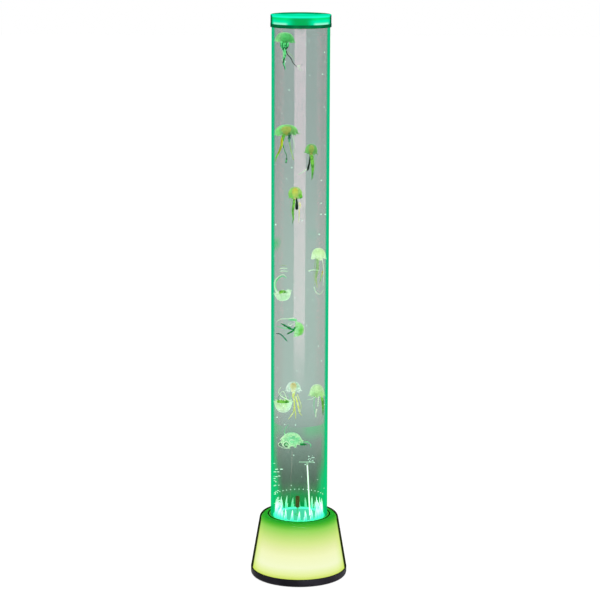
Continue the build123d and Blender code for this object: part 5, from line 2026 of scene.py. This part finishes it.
class Electrics:
    """Light boards, control board, buttons and the power inlet."""

    def build(self) -> None:
        """Dresses each board, lamp, button and contact."""
        dress_in(Finish.CIRCUIT_BOARD, "column_light_board", "base_light_board",
                 "control_board")
        dress_in(Finish.LED_PACKAGE, "column_leds", "base_leds")
        dress_in(Finish.CHIP_PLASTIC, "board_parts", "dc_inlet")
        dress_in(Finish.SCREW_STEEL, "board_screws")
        dress_in(Finish.BLACK_PLASTIC, "power_button", "colour_button")
        dress_in(Finish.BRASS, "dc_inlet_pin")


class AirPump:
    """The pump with its housing, core, coil, arm and valve box."""

    def build(self) -> None:
        """Dresses each part of the pump."""
        dress_in(Finish.BLACK_RUBBER, "pump_feet", "pump_diaphragm")
        dress_in(Finish.WHITE_PLASTIC, "pump_housing", "pump_lid")
        dress_in(Finish.SCREW_STEEL, "pump_lid_screws", "pump_pivot_pin")
        dress_in(Finish.IRON_CORE, "pump_core")
        dress_in(Finish.COPPER_WINDING, "pump_coil")
        dress_in(Finish.GREY_PLASTIC, "pump_arm", "pump_valve_box")
        dress_in(Finish.MAGNET, "pump_magnet")


@dataclass(frozen=True)
class SoftLight:
    """A rectangular studio light that points from its place at a target."""

    name: str
    place: Point
    target: Point
    size: Span
    watts: float

    def build(self) -> None:
        """Makes the light."""
        data = bpy.data.lights.new(self.name, "AREA")
        data.shape = "RECTANGLE"
        data.size, data.size_y = self.size
        data.energy = self.watts
        light = bpy.data.objects.new(self.name, data)
        bpy.context.scene.collection.objects.link(light)
        light.location = self.place
        aim = Vector(self.target) - Vector(self.place)
        light.rotation_euler = aim.to_track_quat("-Z", "Y").to_euler()


@dataclass
class Studio:
    """Floor, lights, backdrop and camera.

    The front softbox has a lower edge that fades out in strips, each given by its share of
    the full strength, which is in watts per square metre.
    """

    camera_place: Point = (0.0004, -4.4903, 1.4874)
    pitch: float = math.radians(11.217)
    roll: float = -0.0042
    focal_pixels: float = 2192.99
    picture_pixels: float = 600.0
    sensor: float = 36.0
    view_depth: float = 100.0
    floor_size: float = 30.0
    floor_colour: Colour = (0.8, 0.8, 0.8)
    floor_white: Colour = (1.18, 1.18, 1.18)
    floor_white_share: float = 0.8
    even_light: float = 0.5
    softbox_x: float = 0.055
    softbox_y: float = -1.2
    softbox_width: float = 1.162
    softbox_top: float = 1.058
    softbox_bottom: float = 0.251
    softbox_fade: tuple[float, ...] = (0.86, 0.68, 0.48, 0.28, 0.12)
    fade_height: float = 0.0354
    softbox_strength: float = 15.6
    top_light: SoftLight = SoftLight("top_softbox", (0.4, -0.6, 2.6), (0, 0, 0.5), (1.6, 1.6),
                                     22.0)

    def camera(self) -> None:
        """Makes the camera and makes it the scene's."""
        data = bpy.data.cameras.new("camera")
        data.sensor_width = self.sensor
        data.lens = self.sensor * self.focal_pixels / self.picture_pixels
        data.clip_end = self.view_depth
        camera = bpy.data.objects.new("camera", data)
        bpy.context.scene.collection.objects.link(camera)
        cosine, sine = math.cos(self.pitch), math.sin(self.pitch)
        ahead, right, up = Vector((0, cosine, -sine)), Vector((1, 0, 0)), Vector((0, sine, cosine))
        turned_right = right * math.cos(self.roll) - up * math.sin(self.roll)
        turned_up = right * math.sin(self.roll) + up * math.cos(self.roll)
        pose = Matrix((turned_right, turned_up, -ahead)).transposed().to_4x4()
        pose.translation = Vector(self.camera_place)
        camera.matrix_world = pose
        bpy.context.scene.camera = camera

    @staticmethod
    def _seen(shader: Shader) -> Value:
        """Finds the rays that see a white background by eye, mirror or glass.

        Args:
            shader: The shader that gets the nodes.

        Returns:
            1 for those rays and 0 for the others.
        """
        path = shader.node("ShaderNodeLightPath")
        eye, mirror, glass = (Value(shader, path.outputs[f"Is {ray} Ray"])
                              for ray in ("Camera", "Glossy", "Transmission"))
        return (eye + mirror + glass).at_most(1.0)

    def floor(self) -> None:
        """Makes the pale floor, which keeps the lamp's soft shadow."""
        weaver = Weaver("studio_floor")
        half = self.floor_size / 2
        weaver.mesh.faces.new([weaver.point(Vector((x * half, y * half, 0)))
                               for x, y in ((-1, -1), (1, -1), (1, 1), (-1, 1))])
        shader = Shader(bpy.data.materials.new("studio_floor_paint"))
        lit = shader.node("ShaderNodeBsdfDiffuse", inputs={"Color": self.floor_colour}).outputs[0]
        surface = shader.mix(self._seen(shader) * self.floor_white_share, lit,
                             shader.glow(self.floor_white))
        weaver.finish(shader.finished(surface), smooth=False)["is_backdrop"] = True

    def sky(self) -> None:
        """Makes the even light all round and the white that is seen behind."""
        world = bpy.data.worlds.new("studio")
        bpy.context.scene.world = world
        shader = Shader(world)
        even, white = (shader.node("ShaderNodeBackground",
                                   inputs={"Color": WHITE, "Strength": strength}).outputs[0]
                       for strength in (self.even_light, 1.0))
        shader.finished(shader.mix(self._seen(shader), even, white))

    def lights(self) -> None:
        """Makes the front softbox, strip by strip, and the top light."""
        top, height = self.softbox_top, self.softbox_top - self.softbox_bottom
        for number, share in enumerate((1.0, *self.softbox_fade)):
            middle = top - height / 2
            SoftLight(f"front_softbox_{number}", (self.softbox_x, self.softbox_y, middle),
                      (self.softbox_x, 0, middle), (self.softbox_width, height),
                      share * self.softbox_strength * self.softbox_width * height).build()
            top, height = top - height, self.fade_height
        self.top_light.build()

    def build(self) -> None:
        """Builds the studio."""
        self.camera()
        self.floor()
        self.sky()
        self.lights()
        bpy.context.scene.view_settings.view_transform = "Standard"
        bpy.context.scene.cycles.transparent_max_bounces = 32


def corners(box: Iterable[Vector]) -> list[list[float]]:
    """A box's two corners as plain numbers."""
    return [[float(number) for number in corner] for corner in box]


def main() -> None:
    """Builds the lamp and its studio."""
    logging.basicConfig(level=logging.INFO, format="%(name)s: %(message)s")
    cad_box = corners(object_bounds())
    for part in (Base(), Electrics(), AirPump(), WaterColumn(Bore.measured()), Cap(), Studio()):
        part.build()
        log.info("built %s", type(part).__name__)
    {"cad": cad_box, "visual": corners(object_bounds())}


if __name__ == "__main__":
    main()
